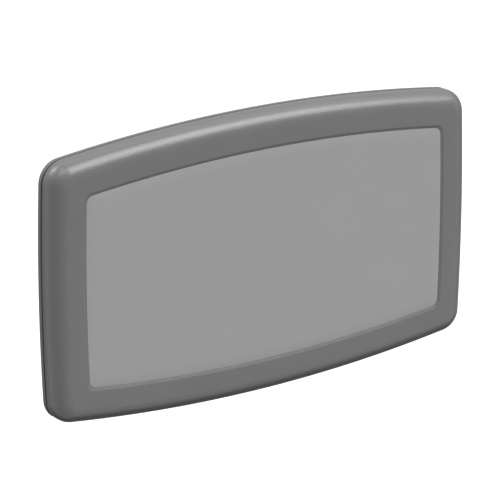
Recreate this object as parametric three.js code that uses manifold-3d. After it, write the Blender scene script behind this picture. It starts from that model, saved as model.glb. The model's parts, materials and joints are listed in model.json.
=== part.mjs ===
// Wall-hung baby changing station, closed, in millimetres with +Z up.
// The wall is the plane y = 0, the front faces -Y, and the origin is the centre of the back face.
// A moulded bed folds down about a steel hinge along its lower edge and a gas spring eases its fall.

import * as THREE from 'three';
import { mergeVertices } from 'three/addons/utils/BufferGeometryUtils.js';
import Module from 'manifold-3d';

const wasm = await Module();
wasm.setup();

// Outline: four bowed edges with rounded corners
const WIDTH = 894;
const HEIGHT = 511;
const DEPTH = 102;
const TOP_ARC = 3170;
const SIDE_ARC = 4280;
const CORNER = 42;
const CORNER_LEAST = 12;

// Moulded shells
const BED_THICK = 37;
const SEAM_GAP = 2;
const RIM_DEPTH = 12;
const SHELL_WALL = 4;
const FRONT_ROUND = 30;
const PAN_INSET = 36;
const PAN_DRAFT = 8;
const RIM_GAP_FROM_EDGE = 51;

// Front panel, set into the bed's frame
const PANEL_INSET = 66.5;
const PANEL_CORNER = 14;
const PANEL_RECESS = 4;
const PANEL_BEVEL = 4.5;
const PANEL_THICK = 2.7;

// Changing surface inside the bed
const BASIN_WALL = 3.5;
const FLANGE_SET = 1;
const FLANGE_WIDTH = 30;
const SKIRT = 6;
const CREST_WIDTH = 18;
const CREST_RISE = 8.5;
const SLOPE_WIDTH = 98;
const CHANNEL = 58;
const BASIN_CORNER = 45;

// Hinge along the lower edge
const HINGE_ABOVE_EDGE = 17.58;
const HINGE_SET = 3;
const PAN_ABOVE_HINGE = 20;
const SHAFT_D = 10;
const BOSS_D = 18;
const EAR = 6;
const EAR_ROOT = 16;
const STEEL = 3;
const EAR_FROM_EDGE = 177;
const EAR_PITCH = 180;
const BUSH_WALL = 1.6;
const BUSH_FLANGE_D = 16;
const BUSH_FLANGE = 1.6;
const CLIP_D = 15;
const CLIP_THICK = 1.5;
const WALL_LEG = 40;
const RAIL_STIFFENER = 14;
const STOP_FROM_EAR = 60;
const STOP_WIDTH = 30;
const STOP_DEPTH = 14;

// Gas spring and its crank
const SPRING_FROM_EDGE = 140;
const SPRING_ABOVE_HINGE = 253.5;
const SPRING_BEHIND_HINGE = 24;
const CRANK_RADIUS = 18;
const CRANK_REST_DEG = -18;
const CRANK_PIN_D = 7;
const CRANK_PIN_HEAD_D = 18;
const CRANK_BOSS_D = 14;
const CRANK_PLAY = 4;
const EYE_WALL = 3.6;
const EYE_THICK = 8;
const ROD_D = 8;
const ROD_LENGTH = 150;
const CYLINDER_D = 18;
const CYLINDER_LENGTH = 120;
const CYLINDER_NECK = 8;
const CYLINDER_CAP = 12;
const TOP_PIN_D = 8;
const TOP_PIN_HEAD_D = 12;
const BRACKET_SIZE = 44;
const BRACKET_ROOT = 30;
const COVER_WALL = 2.5;
const COVER_FRONT_ROOM = 11.5;
const COVER_TOP_ROOM = 1.5;
const COVER_INTO_BASIN = 106;

// Wall fixing
const STUD_PITCH = 406.4;
const STRAP_LENGTH = 500;
const STRAP_HEIGHT = 30;
const UPPER_STRAP_BELOW_TOP = 85.5;
const LOWER_STRAP_ABOVE_PAN = 53.5;
const BOLT_D = 8;
const BOLT_HEAD_D = 15;
const BOLT_HEAD = 5.5;
const WASHER_D = 22;
const WASHER = 1.6;

// Small screws and rubber
const SCREW_D = 4;
const SCREW_HEAD_D = 9;
const SCREW_HEAD = 2.4;
const SCREW_GRIP = 8;
const RAIL_SCREW_GRIP = 2.5;
const RAIL_SCREW_FROM_EAR = [22, 90];
const SCREW_BOSS_D = 12;
const SCREW_INSET = 22;
const SCREW_FROM_EDGE = 247;
const SCREW_FROM_TOP = 190.5;
const SCREW_FROM_BOTTOM = 125.5;
const BUMPER_D = 14;
const BUMPER_FROM_EDGE = 137;
const BUMPER_FROM_BOTTOM = 195.5;

// Liner dispenser
const BOX_WIDTH = 340;
const BOX_HEIGHT = 160;
const BOX_DEPTH = 36;
const BOX_WALL = 3;
const BOX_BELOW_STRAP = 15;
const BOX_TOP_LIP = 4;
const PULL_WIDTH = 200;
const PULL_HEIGHT = 34;
const PULL_ABOVE = 24;
const LID_HEIGHT = 40;
const LID_BARREL_D = 5;
const LID_PIN_D = 2.4;
const TAB = 22;
const LOCK_D = 16;
const LOCK_RIM_D = 21;
const LOCK_RIM = 2;
const LOCK_ABOVE = 22;
const CAM_LENGTH = 21;
const CAM_WIDTH = 10;
const CAM_THICK = 2;

// Bag hooks
const HOOK_BELOW_BOX_TOP = 100;
const HOOK_PLATE = 3;
const HOOK_PLATE_WIDTH = 24;
const HOOK_PLATE_HEIGHT = 56;
const HOOK_ARM = 7;
const HOOK_ARM_WIDTH = 12;
const HOOK_REACH = 40;
const HOOK_TIP = 24;

// Safety strap and buckle
const WEB_WIDTH = 38;
const WEB_THICK = 1.6;
const WEB_FLOAT = 0.7;
const ANCHOR_INTO_SLOPE = 44;
const ANCHOR_LENGTH = 18;
const ANCHOR_WIDTH = 58;
const ANCHOR_TOP = 2.5;
const BUCKLE_ABOVE_MIDDLE = 11;
const BUCKLE_WIDTH = 46;
const SOCKET_LENGTH = 38;
const SOCKET_THICK = 13;
const SOCKET_WALL = 2.4;
const PLUG_LENGTH = 26;
const TONGUE_LENGTH = 25;
const TONGUE_WIDTH = 30;
const TAIL_LENGTH = 26;

// Clearances
const TOUCH = 0.3;
const RUNNING = 0.25;
const FIT = 0.5;
const SWING = 1;
const BLIND = 1;

// How far a cutting solid runs past what it cuts
const OVERCUT = 1;

// Steps on the outline's arcs and corners, on a quarter round, on the basin and on a round bar
const TOP_STEPS = 8;
const SIDE_STEPS = 4;
const CORNER_STEPS = 5;
const ROUND_STEPS = 5;
const CREST_STEPS = 3;
const SLOPE_STEPS = 6;
const WEB_STEPS = 12;
const ARC_STEPS = 8;
const SIDES = 16;
const FINE_SIDES = 20;
const HEAD_SIDES = 12;
const SHANK_SIDES = 10;
const HEX_SIDES = 6;

// Planes and axes worked out from the sizes above
const halfWidth = WIDTH / 2;
const halfHeight = HEIGHT / 2;
const frontY = -DEPTH;
const bedEdgeY = frontY + BED_THICK;
const rimFrontY = bedEdgeY + SEAM_GAP;
const rimBackY = rimFrontY + RIM_DEPTH;
const rimFloorY = rimBackY - SHELL_WALL;
const panBackY = -SHELL_WALL;
const seatY = panBackY - TOUCH;
const panelY = frontY + PANEL_RECESS;
const panelSeatY = panelY + PANEL_THICK + TOUCH;
const frameInsideY = frontY + SHELL_WALL;
const floorInsideY = panelSeatY + SHELL_WALL;
const flangeY = bedEdgeY - FLANGE_SET;
const basinFloorY = floorInsideY + FIT + BASIN_WALL;
const roundInside = FRONT_ROUND - SHELL_WALL;
const skirtIntoRound = Math.max(0, frontY + FRONT_ROUND + SKIRT - flangeY);
const flangeInset = SHELL_WALL + FIT + skirtIntoRound * Math.tan(Math.PI / 4 / ROUND_STEPS);
const crestInset = flangeInset + FLANGE_WIDTH + CREST_WIDTH;
const basinInset = crestInset + SLOPE_WIDTH;
const hingeY = bedEdgeY - HINGE_SET;
const rimGapHalf = halfWidth - RIM_GAP_FROM_EDGE;
const lastEarX = halfWidth - EAR_FROM_EDGE;
const earPlaces = [lastEarX - EAR_PITCH, lastEarX];
const bumperSideZ = BUMPER_FROM_BOTTOM - halfHeight;
const screwTopX = halfWidth - SCREW_FROM_EDGE;
const buckleZ = CHANNEL / 2 + BUCKLE_ABOVE_MIDDLE;

// Heights of the bowed edges at a distance from the centre line
const topEdgeZ = (x) => halfHeight - TOP_ARC + Math.sqrt(TOP_ARC ** 2 - x ** 2);
const bottomEdgeZ = (x) => -topEdgeZ(x);
const sideEdgeX = (z) => halfWidth - SIDE_ARC + Math.sqrt(SIDE_ARC ** 2 - z ** 2);

// Gas spring and crank along X, and the hinge's height, set where the crank comes nearest the lower edge
const springX = halfWidth - SPRING_FROM_EDGE;
const eyeX0 = springX - EYE_THICK / 2;
const eyeX1 = springX + EYE_THICK / 2;
const crankX1 = eyeX0 - SWING;
const crankX0 = crankX1 - EAR;
const coverHalf = BRACKET_SIZE / 2 + FIT + COVER_WALL;
const hingeZ = bottomEdgeZ(crankX1) + HINGE_ABOVE_EDGE;
const panBottomZ = hingeZ + PAN_ABOVE_HINGE;
const legTopZ = panBottomZ - TOUCH;
const legBottomZ = legTopZ - STEEL;

// Materials
function finish(color, roughness, metalness = 0) {
  return new THREE.MeshStandardMaterial({ color, roughness, metalness });
}
const shellGrey = finish(0x6d6e70, 0.55);
const panelGrey = finish(0x97989a, 0.6);
const innerGrey = finish(0x7c7d7f, 0.6);
const zincSteel = finish(0xa9abad, 0.4, 1);
const darkSteel = finish(0x3d3e40, 0.4, 1);
const chrome = finish(0xc9cbcd, 0.15, 1);
const rubber = finish(0x232323, 0.9);
const nylon = finish(0x2c2c2e, 0.5);
const webbing = finish(0x2a2b2d, 0.85);

const station = new THREE.Group();

// Adds one named piece to a group
function piece(name, shape, material, parent = station) {
  const mesh = new THREE.Mesh(geometryOf(shape), material);
  mesh.name = name;
  parent.add(mesh);
}

// Solids for joining and cutting
function solid(geometry) {
  const bare = geometry.clone();
  bare.deleteAttribute('normal');
  bare.deleteAttribute('uv');
  const merged = mergeVertices(bare, 1e-4);
  return new wasm.Manifold(new wasm.Mesh({
    numProp: 3,
    vertProperties: merged.attributes.position.array,
    triVerts: new Uint32Array(merged.index.array),
  }));
}

function geometryOf(manifold) {
  const mesh = manifold.getMesh();
  const geometry = new THREE.BufferGeometry();
  geometry.setAttribute('position', new THREE.BufferAttribute(mesh.vertProperties, 3));
  geometry.setIndex(new THREE.BufferAttribute(mesh.triVerts, 1));
  geometry.computeVertexNormals();
  return geometry;
}

const join = (...solids) => solids.reduce((whole, next) => whole.add(next));

// A block between two corners
function block(x0, x1, y0, y1, z0, z1) {
  const geometry = new THREE.BoxGeometry(x1 - x0, y1 - y0, z1 - z0);
  return solid(geometry.translate((x0 + x1) / 2, (y0 + y1) / 2, (z0 + z1) / 2));
}

// A round bar along X, Y or Z, given by its diameter, its ends and its centre in the other two axes
function barX(diameter, x0, x1, y, z, sides = SIDES) {
  const geometry = new THREE.CylinderGeometry(diameter / 2, diameter / 2, x1 - x0, sides);
  return solid(geometry.rotateZ(Math.PI / 2).translate((x0 + x1) / 2, y, z));
}

function barY(diameter, y0, y1, x, z, sides = SIDES) {
  const geometry = new THREE.CylinderGeometry(diameter / 2, diameter / 2, y1 - y0, sides);
  return solid(geometry.translate(x, (y0 + y1) / 2, z));
}

function barZ(diameter, z0, z1, x, y, sides = SIDES) {
  const geometry = new THREE.CylinderGeometry(diameter / 2, diameter / 2, z1 - z0, sides);
  return solid(geometry.rotateX(Math.PI / 2).translate(x, y, (z0 + z1) / 2));
}

// A plate with its outline in (y, z), from x0 to x1
function plateX(shape, x0, x1) {
  const geometry = new THREE.ExtrudeGeometry(shape, {
    depth: x1 - x0, bevelEnabled: false, curveSegments: ARC_STEPS,
  });
  const axes = new THREE.Matrix4().makeBasis(
    new THREE.Vector3(0, 1, 0), new THREE.Vector3(0, 0, 1), new THREE.Vector3(1, 0, 0),
  );
  return solid(geometry.applyMatrix4(axes).translate(x0, 0, 0));
}

// A lug from a straight root to a round boss, in (y, z)
function lug(rootA, rootB, centre, diameter, x0, x1) {
  const middle = new THREE.Vector2().addVectors(rootA, rootB).multiplyScalar(0.5);
  const along = new THREE.Vector2().subVectors(centre, middle);
  const left = along.cross(new THREE.Vector2().subVectors(rootA, middle)) > 0;
  const [start, end] = left ? [rootA, rootB] : [rootB, rootA];
  const angle = along.angle();
  const shape = new THREE.Shape();
  shape.moveTo(end.x, end.y);
  shape.lineTo(start.x, start.y);
  shape.absarc(centre.x, centre.y, diameter / 2, angle + Math.PI / 2, angle - Math.PI / 2, true);
  return plateX(shape, x0, x1);
}

// A band of even thickness along points in (y, z), with x from -width / 2 to width / 2 about a centre
function ribbon(points, thickness, width, x = 0) {
  const sides = [1, -1].map((side) => points.map((point, i) => {
    const before = points[Math.max(i - 1, 0)];
    const after = points[Math.min(i + 1, points.length - 1)];
    const along = new THREE.Vector2().subVectors(after, before).normalize();
    return new THREE.Vector2(-along.y, along.x).multiplyScalar(side * thickness / 2).add(point);
  }));
  const shape = new THREE.Shape([...sides[0], ...sides[1].reverse()]);
  return plateX(shape, x - width / 2, x + width / 2);
}

// Centre of the round that joins two arcs, in the quadrant given by its signs
function roundCentre(a, b, radius, signX, signZ) {
  const from = new THREE.Vector2(a.x, a.z);
  const span = new THREE.Vector2(b.x - a.x, b.z - a.z);
  const length = span.length();
  const ra = a.r - radius;
  const rb = b.r - radius;
  const along = (ra ** 2 - rb ** 2 + length ** 2) / (2 * length);
  const across = Math.sqrt(ra ** 2 - along ** 2);
  span.normalize();
  const normal = new THREE.Vector2(-span.y, span.x);
  const foot = from.clone().addScaledVector(span, along);
  const ends = [across, -across].map((h) => foot.clone().addScaledVector(normal, h));
  const reach = (p) => p.x * signX + p.y * signZ;
  return reach(ends[0]) > reach(ends[1]) ? ends[0] : ends[1];
}

// The station's outline moved inward, counter-clockwise from the front, its lower edge raised by lift.
// A corner's round is limited by the side that it ends on.
function outline(inset, corner, lift) {
  const right = { x: halfWidth - SIDE_ARC, z: 0, r: SIDE_ARC - inset, steps: SIDE_STEPS };
  const top = { x: 0, z: halfHeight - TOP_ARC, r: TOP_ARC - inset, steps: TOP_STEPS };
  const left = { ...right, x: -right.x };
  const bottom = { ...top, z: lift - top.z };
  const sides = [right, top, left, bottom];
  const signs = [[1, 1], [-1, 1], [-1, -1], [1, -1]];
  const sideHalf = topEdgeZ(halfWidth - inset) - inset - lift / 2;
  const radius = Math.min(corner, sideHalf - CORNER_LEAST);
  const rounds = sides.map((side, i) => roundCentre(side, sides[(i + 1) % 4], radius, ...signs[i]));
  const bearing = (side, round) => Math.atan2(round.y - side.z, round.x - side.x);
  const points = [];
  const arc = (x, z, r, start, end, steps) => {
    const turn = (end - start + 4 * Math.PI) % (2 * Math.PI);
    points.push(...new THREE.EllipseCurve(x, z, r, r, start, start + turn).getPoints(steps).slice(0, -1));
  };
  sides.forEach((side, i) => {
    const round = rounds[i];
    const next = sides[(i + 1) % 4];
    arc(side.x, side.z, side.r, bearing(side, rounds[(i + 3) % 4]), bearing(side, round), side.steps);
    arc(round.x, round.y, radius, bearing(side, round), bearing(next, round), CORNER_STEPS);
  });
  return points;
}

// A closed skin through rings of [inset, y, corner], listed from the foremost cap round to the rearmost
function loft(rings, lift = 0) {
  const positions = [];
  const index = [];
  const loops = rings.map(([inset, y, corner = Math.max(CORNER - inset, CORNER_LEAST)]) => (
    outline(inset, corner, lift).map((p) => [p.x, y, p.y])
  ));
  const count = loops[0].length;
  loops.forEach((loop) => loop.forEach((p) => positions.push(...p)));
  const firstCap = positions.length / 3;
  positions.push(0, rings[0][1], lift / 2, 0, rings[rings.length - 1][1], lift / 2);
  const lastRing = (loops.length - 1) * count;
  for (let k = 0; k < count; k++) {
    const n = (k + 1) % count;
    for (let ring = 0; ring < loops.length - 1; ring++) {
      const here = ring * count;
      const beyond = here + count;
      index.push(here + k, beyond + k, here + n, here + n, beyond + k, beyond + n);
    }
    index.push(firstCap, k, n, firstCap + 1, lastRing + n, lastRing + k);
  }
  const geometry = new THREE.BufferGeometry();
  geometry.setAttribute('position', new THREE.Float32BufferAttribute(positions, 3));
  geometry.setIndex(index);
  return solid(geometry);
}

// Rings of a quarter round from a flat face out to a side wall
function quarterRound(radius, wallInset, faceY) {
  return Array.from({ length: ROUND_STEPS + 1 }, (_, i) => {
    const angle = (i / ROUND_STEPS) * Math.PI / 2;
    return [wallInset + radius * (1 - Math.sin(angle)), faceY + radius * (1 - Math.cos(angle))];
  });
}

// A pan-head screw along Y with its head towards the front, seated at y
const screw = (y, grip, x, z) => join(
  barY(SCREW_HEAD_D, y - SCREW_HEAD, y, x, z, HEAD_SIDES),
  barY(SCREW_D, y - SCREW_HEAD / 2, y + grip, x, z, SHANK_SIDES),
);

// A pan-head screw whose head faces the wall, seated at y
const rearScrew = (y, grip, x, z) => join(
  barY(SCREW_HEAD_D, y, y + SCREW_HEAD, x, z, HEAD_SIDES),
  barY(SCREW_D, y - grip, y + SCREW_HEAD / 2, x, z, SHANK_SIDES),
);

const screwHole = (y0, y1, x, z) => barY(SCREW_D + 2 * RUNNING, y0, y1, x, z, SHANK_SIDES);

// A hexagon bolt and washer, seated at y, its shank ending at the wall
const wallBolt = (y, x, z) => join(
  barY(WASHER_D, y - WASHER, y, x, z),
  barY(BOLT_HEAD_D, y - WASHER - BOLT_HEAD, y - WASHER / 2, x, z, HEX_SIDES),
  barY(BOLT_D, y - WASHER / 2, -TOUCH, x, z, HEAD_SIDES),
);

const boltHole = (y0, y1, x, z) => barY(BOLT_D + 2 * FIT, y0, y1, x, z, HEAD_SIDES);

// Wall fixing: where the straps and the rail are bolted
const strapY = seatY - STEEL;
const strapPlaces = {
  upper: halfHeight - UPPER_STRAP_BELOW_TOP,
  lower: panBottomZ + LOWER_STRAP_ABOVE_PAN,
};
const strapBolts = Object.values(strapPlaces).flatMap((z) => (
  [-STUD_PITCH / 2, STUD_PITCH / 2].map((x) => ({ x, z }))
));
const boxX = BOX_WIDTH / 2;
const boxTop = strapPlaces.upper - STRAP_HEIGHT / 2 - BOX_BELOW_STRAP;
const boxBottom = boxTop - BOX_HEIGHT;
const tabX = boxX + TAB / 2;
const tabZ = boxBottom + BOX_HEIGHT / 2;

// Gas spring: crank pin at rest and the line from the top pivot down to it
const crankAngle = THREE.MathUtils.degToRad(CRANK_REST_DEG);
const crankPin = new THREE.Vector2(
  hingeY + CRANK_RADIUS * Math.cos(crankAngle),
  hingeZ + CRANK_RADIUS * Math.sin(crankAngle),
);
const springTop = new THREE.Vector2(hingeY + SPRING_BEHIND_HINGE, hingeZ + SPRING_ABOVE_HINGE);
const springLine = new THREE.Vector2().subVectors(crankPin, springTop);
const springLength = springLine.length();
const eyeBoreD = CRANK_PIN_D + 2 * CRANK_PLAY;
const eyeD = eyeBoreD + 2 * EYE_WALL;

// Rear housing: a shallow rim that follows the outline, and a pan behind it against the wall
{
  const rim = loft([[0, rimFrontY], [0, rimBackY]])
    .subtract(loft([[SHELL_WALL, rimFrontY - OVERCUT], [SHELL_WALL, rimFloorY]]));
  const below = (z) => block(-WIDTH, WIDTH, -DEPTH, OVERCUT, -HEIGHT, z);
  const panOutside = loft([[PAN_INSET, rimFloorY], [PAN_INSET + PAN_DRAFT, 0]])
    .subtract(below(panBottomZ));
  const panInset = PAN_INSET + SHELL_WALL;
  const panInside = loft([[panInset, rimFrontY], [panInset + PAN_DRAFT, panBackY]])
    .subtract(below(panBottomZ + SHELL_WALL));
  const slotHalf = eyeX1 - springX + SWING;
  const cuts = [
    block(-rimGapHalf, rimGapHalf, -DEPTH, rimBackY + OVERCUT, -HEIGHT, panBottomZ),
    block(-WIDTH, WIDTH, -DEPTH, rimBackY + OVERCUT, -HEIGHT, hingeZ + HINGE_SET + SWING),
    block(
      crankX0 - SWING, springX + slotHalf + CRANK_PLAY,
      -DEPTH, crankPin.x + eyeD / 2 + SWING, hingeZ, panBottomZ + SHELL_WALL + PAN_DRAFT,
    ),
    ...strapBolts.map(({ x, z }) => boltHole(panBackY - OVERCUT, OVERCUT, x, z)),
    ...[-tabX, tabX].map((x) => screwHole(panBackY - OVERCUT, -BLIND, x, tabZ)),
  ];
  const housing = cuts.reduce((whole, cut) => whole.subtract(cut), rim.add(panOutside).subtract(panInside));
  piece('rear_housing', housing, shellGrey);
}

// Steel wall straps inside the pan, and the bolts that hold the station to the wall studs
for (const [name, z] of Object.entries(strapPlaces)) {
  const half = STRAP_LENGTH / 2;
  const bar = block(-half, half, strapY, seatY, z - STRAP_HEIGHT / 2, z + STRAP_HEIGHT / 2);
  const bored = [-STUD_PITCH / 2, STUD_PITCH / 2].reduce(
    (whole, x) => whole.subtract(boltHole(strapY - OVERCUT, 0, x, z)), bar,
  );
  piece(`${name}_wall_strap`, bored, zincSteel);
}
strapBolts.forEach(({ x, z }, i) => piece(`wall_bolt_${i + 1}`, wallBolt(strapY - TOUCH, x, z), zincSteel));

// Hinge stations: each wall ear has a bed ear on its inner side, with a flanged bush between
const axis = new THREE.Vector2(hingeY, hingeZ);
const stations = earPlaces.flatMap((place) => [-1, 1].map((side) => ({ side, place })));
const across = (side, x0, x1) => (side > 0 ? [x0, x1] : [-x1, -x0]);
const wallEarX = (place) => [place - EAR / 2, place + EAR / 2];
const bedEarX = (place) => {
  const inner = place - EAR / 2 - BUSH_FLANGE - 2 * RUNNING;
  return [inner - EAR, inner];
};
const shaftEnd = lastEarX + EAR / 2 + 2 * CLIP_THICK + SWING;
const bushD = SHAFT_D + 2 * RUNNING + 2 * BUSH_WALL;
const legFrontY = hingeY + BOSS_D / 2 - STEEL;

// Wall hinge rail: an angle under the pan, bolted to the wall, with ears that carry the shaft
{
  const leg = block(-shaftEnd, shaftEnd, legFrontY, 0, legBottomZ, legTopZ);
  const back = block(-shaftEnd, shaftEnd, -STEEL, 0, legTopZ - WALL_LEG, legTopZ);
  const ears = stations.map(({ side, place }) => lug(
    new THREE.Vector2(legFrontY, legTopZ), new THREE.Vector2(legFrontY + EAR_ROOT, legTopZ),
    axis, BOSS_D, ...across(side, ...wallEarX(place)),
  ));
  const bore = barX(SHAFT_D + 2 * RUNNING, -WIDTH, WIDTH, hingeY, hingeZ);
  const railBoltZ = legTopZ - WALL_LEG / 2 - STEEL;
  const places = [-STUD_PITCH / 2, STUD_PITCH / 2];
  const holes = places.map((x) => boltHole(-STEEL - OVERCUT, OVERCUT, x, railBoltZ));
  const rail = [bore, ...holes].reduce((whole, cut) => whole.subtract(cut), join(leg, back, ...ears));
  piece('wall_hinge_rail', rail, darkSteel);
  places.forEach((x, i) => piece(`rail_bolt_${i + 1}`, wallBolt(-STEEL - TOUCH, x, railBoltZ), zincSteel));
}

// Hinge shaft and the clips that keep it in the outer ears
{
  piece('hinge_shaft', barX(SHAFT_D, -shaftEnd, shaftEnd, hingeY, hingeZ), chrome);
  const clipX = lastEarX + EAR / 2 + RUNNING;
  for (const [name, side] of [['left', -1], ['right', 1]]) {
    const [x0, x1] = across(side, clipX, clipX + CLIP_THICK);
    const clip = barX(CLIP_D, x0, x1, hingeY, hingeZ)
      .subtract(barX(SHAFT_D + 2 * RUNNING, x0 - OVERCUT, x1 + OVERCUT, hingeY, hingeZ));
    piece(`shaft_clip_${name}`, clip, zincSteel);
  }
}

// Rubber stops under the rail, where the bed's lower lip comes to rest when it is down
for (const [name, side] of [['left', -1], ['right', 1]]) {
  const stopX = earPlaces[0] + STOP_FROM_EAR;
  const lipY = hingeY + hingeZ - bottomEdgeZ(stopX) - SHELL_WALL / 2;
  const [x0, x1] = across(side, stopX - STOP_WIDTH / 2, stopX + STOP_WIDTH / 2);
  const lipZ = hingeZ + HINGE_SET;
  const pad = block(x0, x1, lipY - STOP_DEPTH / 2, lipY + STOP_DEPTH / 2, lipZ + TOUCH, legBottomZ - TOUCH);
  piece(`stop_pad_${name}`, pad, rubber);
}

// Rubber bumpers on the rim's floor, two along the top and one on each side
{
  const inset = flangeInset + FLANGE_WIDTH / 2;
  const topX = halfWidth - BUMPER_FROM_EDGE;
  const places = [-1, 1].flatMap((side) => [
    [side * topX, topEdgeZ(topX) - inset],
    [side * (sideEdgeX(bumperSideZ) - inset), bumperSideZ],
  ]);
  places.forEach(([x, z], i) => {
    const bumper = barY(BUMPER_D, flangeY + TOUCH, rimFloorY - TOUCH, x, z, HEAD_SIDES);
    piece(`rim_bumper_${i + 1}`, bumper, rubber);
  });
}

// Gas spring bracket and top pin on the pan's back
{
  const half = EYE_THICK / 2 + FIT;
  const plate = block(
    springX - BRACKET_SIZE / 2, springX + BRACKET_SIZE / 2, strapY, seatY,
    springTop.y - BRACKET_SIZE / 2, springTop.y + BRACKET_SIZE / 2,
  );
  const root = [-BRACKET_ROOT / 2, BRACKET_ROOT / 2].map(
    (z) => new THREE.Vector2(strapY + STEEL / 2, springTop.y + z),
  );
  const ears = [springX - half - STEEL, springX + half].map(
    (x) => lug(...root, springTop, BOSS_D, x, x + STEEL),
  );
  const reach = half + STEEL;
  const bore = barX(TOP_PIN_D + 2 * RUNNING, springX - BRACKET_SIZE, springX + BRACKET_SIZE, ...springTop);
  piece('gas_spring_bracket', join(plate, ...ears).subtract(bore), zincSteel);
  const head = barX(TOP_PIN_HEAD_D, springX + reach + RUNNING, springX + reach + STEEL, ...springTop);
  const pin = barX(TOP_PIN_D, springX - reach - STEEL, springX + reach + STEEL / 2, ...springTop);
  piece('gas_spring_top_pin', join(pin, head), chrome);
}

// Gas spring, built hanging from its top pivot and turned to meet the crank pin
{
  const spring = new THREE.Group();
  spring.position.set(springX, ...springTop);
  spring.rotation.x = Math.atan2(springLine.x, -springLine.y);
  station.add(spring);
  const eyeTopD = TOP_PIN_D + 2 * RUNNING + 2 * EYE_WALL;
  const barrelTop = -eyeTopD / 2 - CYLINDER_NECK;
  const barrelEnd = barrelTop - CYLINDER_LENGTH;
  const boreTop = barrelTop - CYLINDER_CAP;
  const eyeBar = (diameter, extra) => barX(diameter, -EYE_THICK / 2 - extra, EYE_THICK / 2 + extra, 0, 0);
  const cylinder = join(
    eyeBar(eyeTopD, 0),
    barZ(EYE_THICK, barrelTop - CYLINDER_CAP / 2, barrelTop + CYLINDER_NECK + EYE_WALL / 2, 0, 0),
    barZ(CYLINDER_D, barrelEnd, barrelTop, 0, 0, FINE_SIDES),
  )
    .subtract(eyeBar(TOP_PIN_D + 2 * RUNNING, OVERCUT))
    .subtract(barZ(ROD_D + 2 * RUNNING, barrelEnd - OVERCUT, boreTop, 0, 0));
  piece('gas_spring_cylinder', cylinder, darkSteel, spring);
  const rodEnd = -springLength + eyeD / 2 - EYE_WALL / 2;
  const rod = join(
    barX(eyeD, -EYE_THICK / 2, EYE_THICK / 2, 0, -springLength, FINE_SIDES),
    barZ(ROD_D, rodEnd, rodEnd + ROD_LENGTH, 0, 0),
  ).subtract(barX(eyeBoreD, -EYE_THICK, EYE_THICK, 0, -springLength, FINE_SIDES));
  piece('gas_spring_rod', rod, chrome, spring);
}

// Cover over the upper part of the gas spring, open towards the wall and below
{
  const x0 = springX - coverHalf;
  const x1 = springX + coverHalf;
  const coverY = springTop.x - CYLINDER_D / 2 - COVER_FRONT_ROOM - COVER_WALL;
  const z0 = bottomEdgeZ(x1) + CHANNEL + COVER_INTO_BASIN;
  const z1 = springTop.y + BRACKET_SIZE / 2 + COVER_TOP_ROOM + COVER_WALL;
  const hollow = block(
    x0 + COVER_WALL, x1 - COVER_WALL, coverY + COVER_WALL, OVERCUT, z0 - OVERCUT, z1 - COVER_WALL,
  );
  const cover = block(x0, x1, coverY, seatY, z0, z1).subtract(hollow);
  piece('gas_spring_cover', cover, innerGrey);
}

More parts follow.
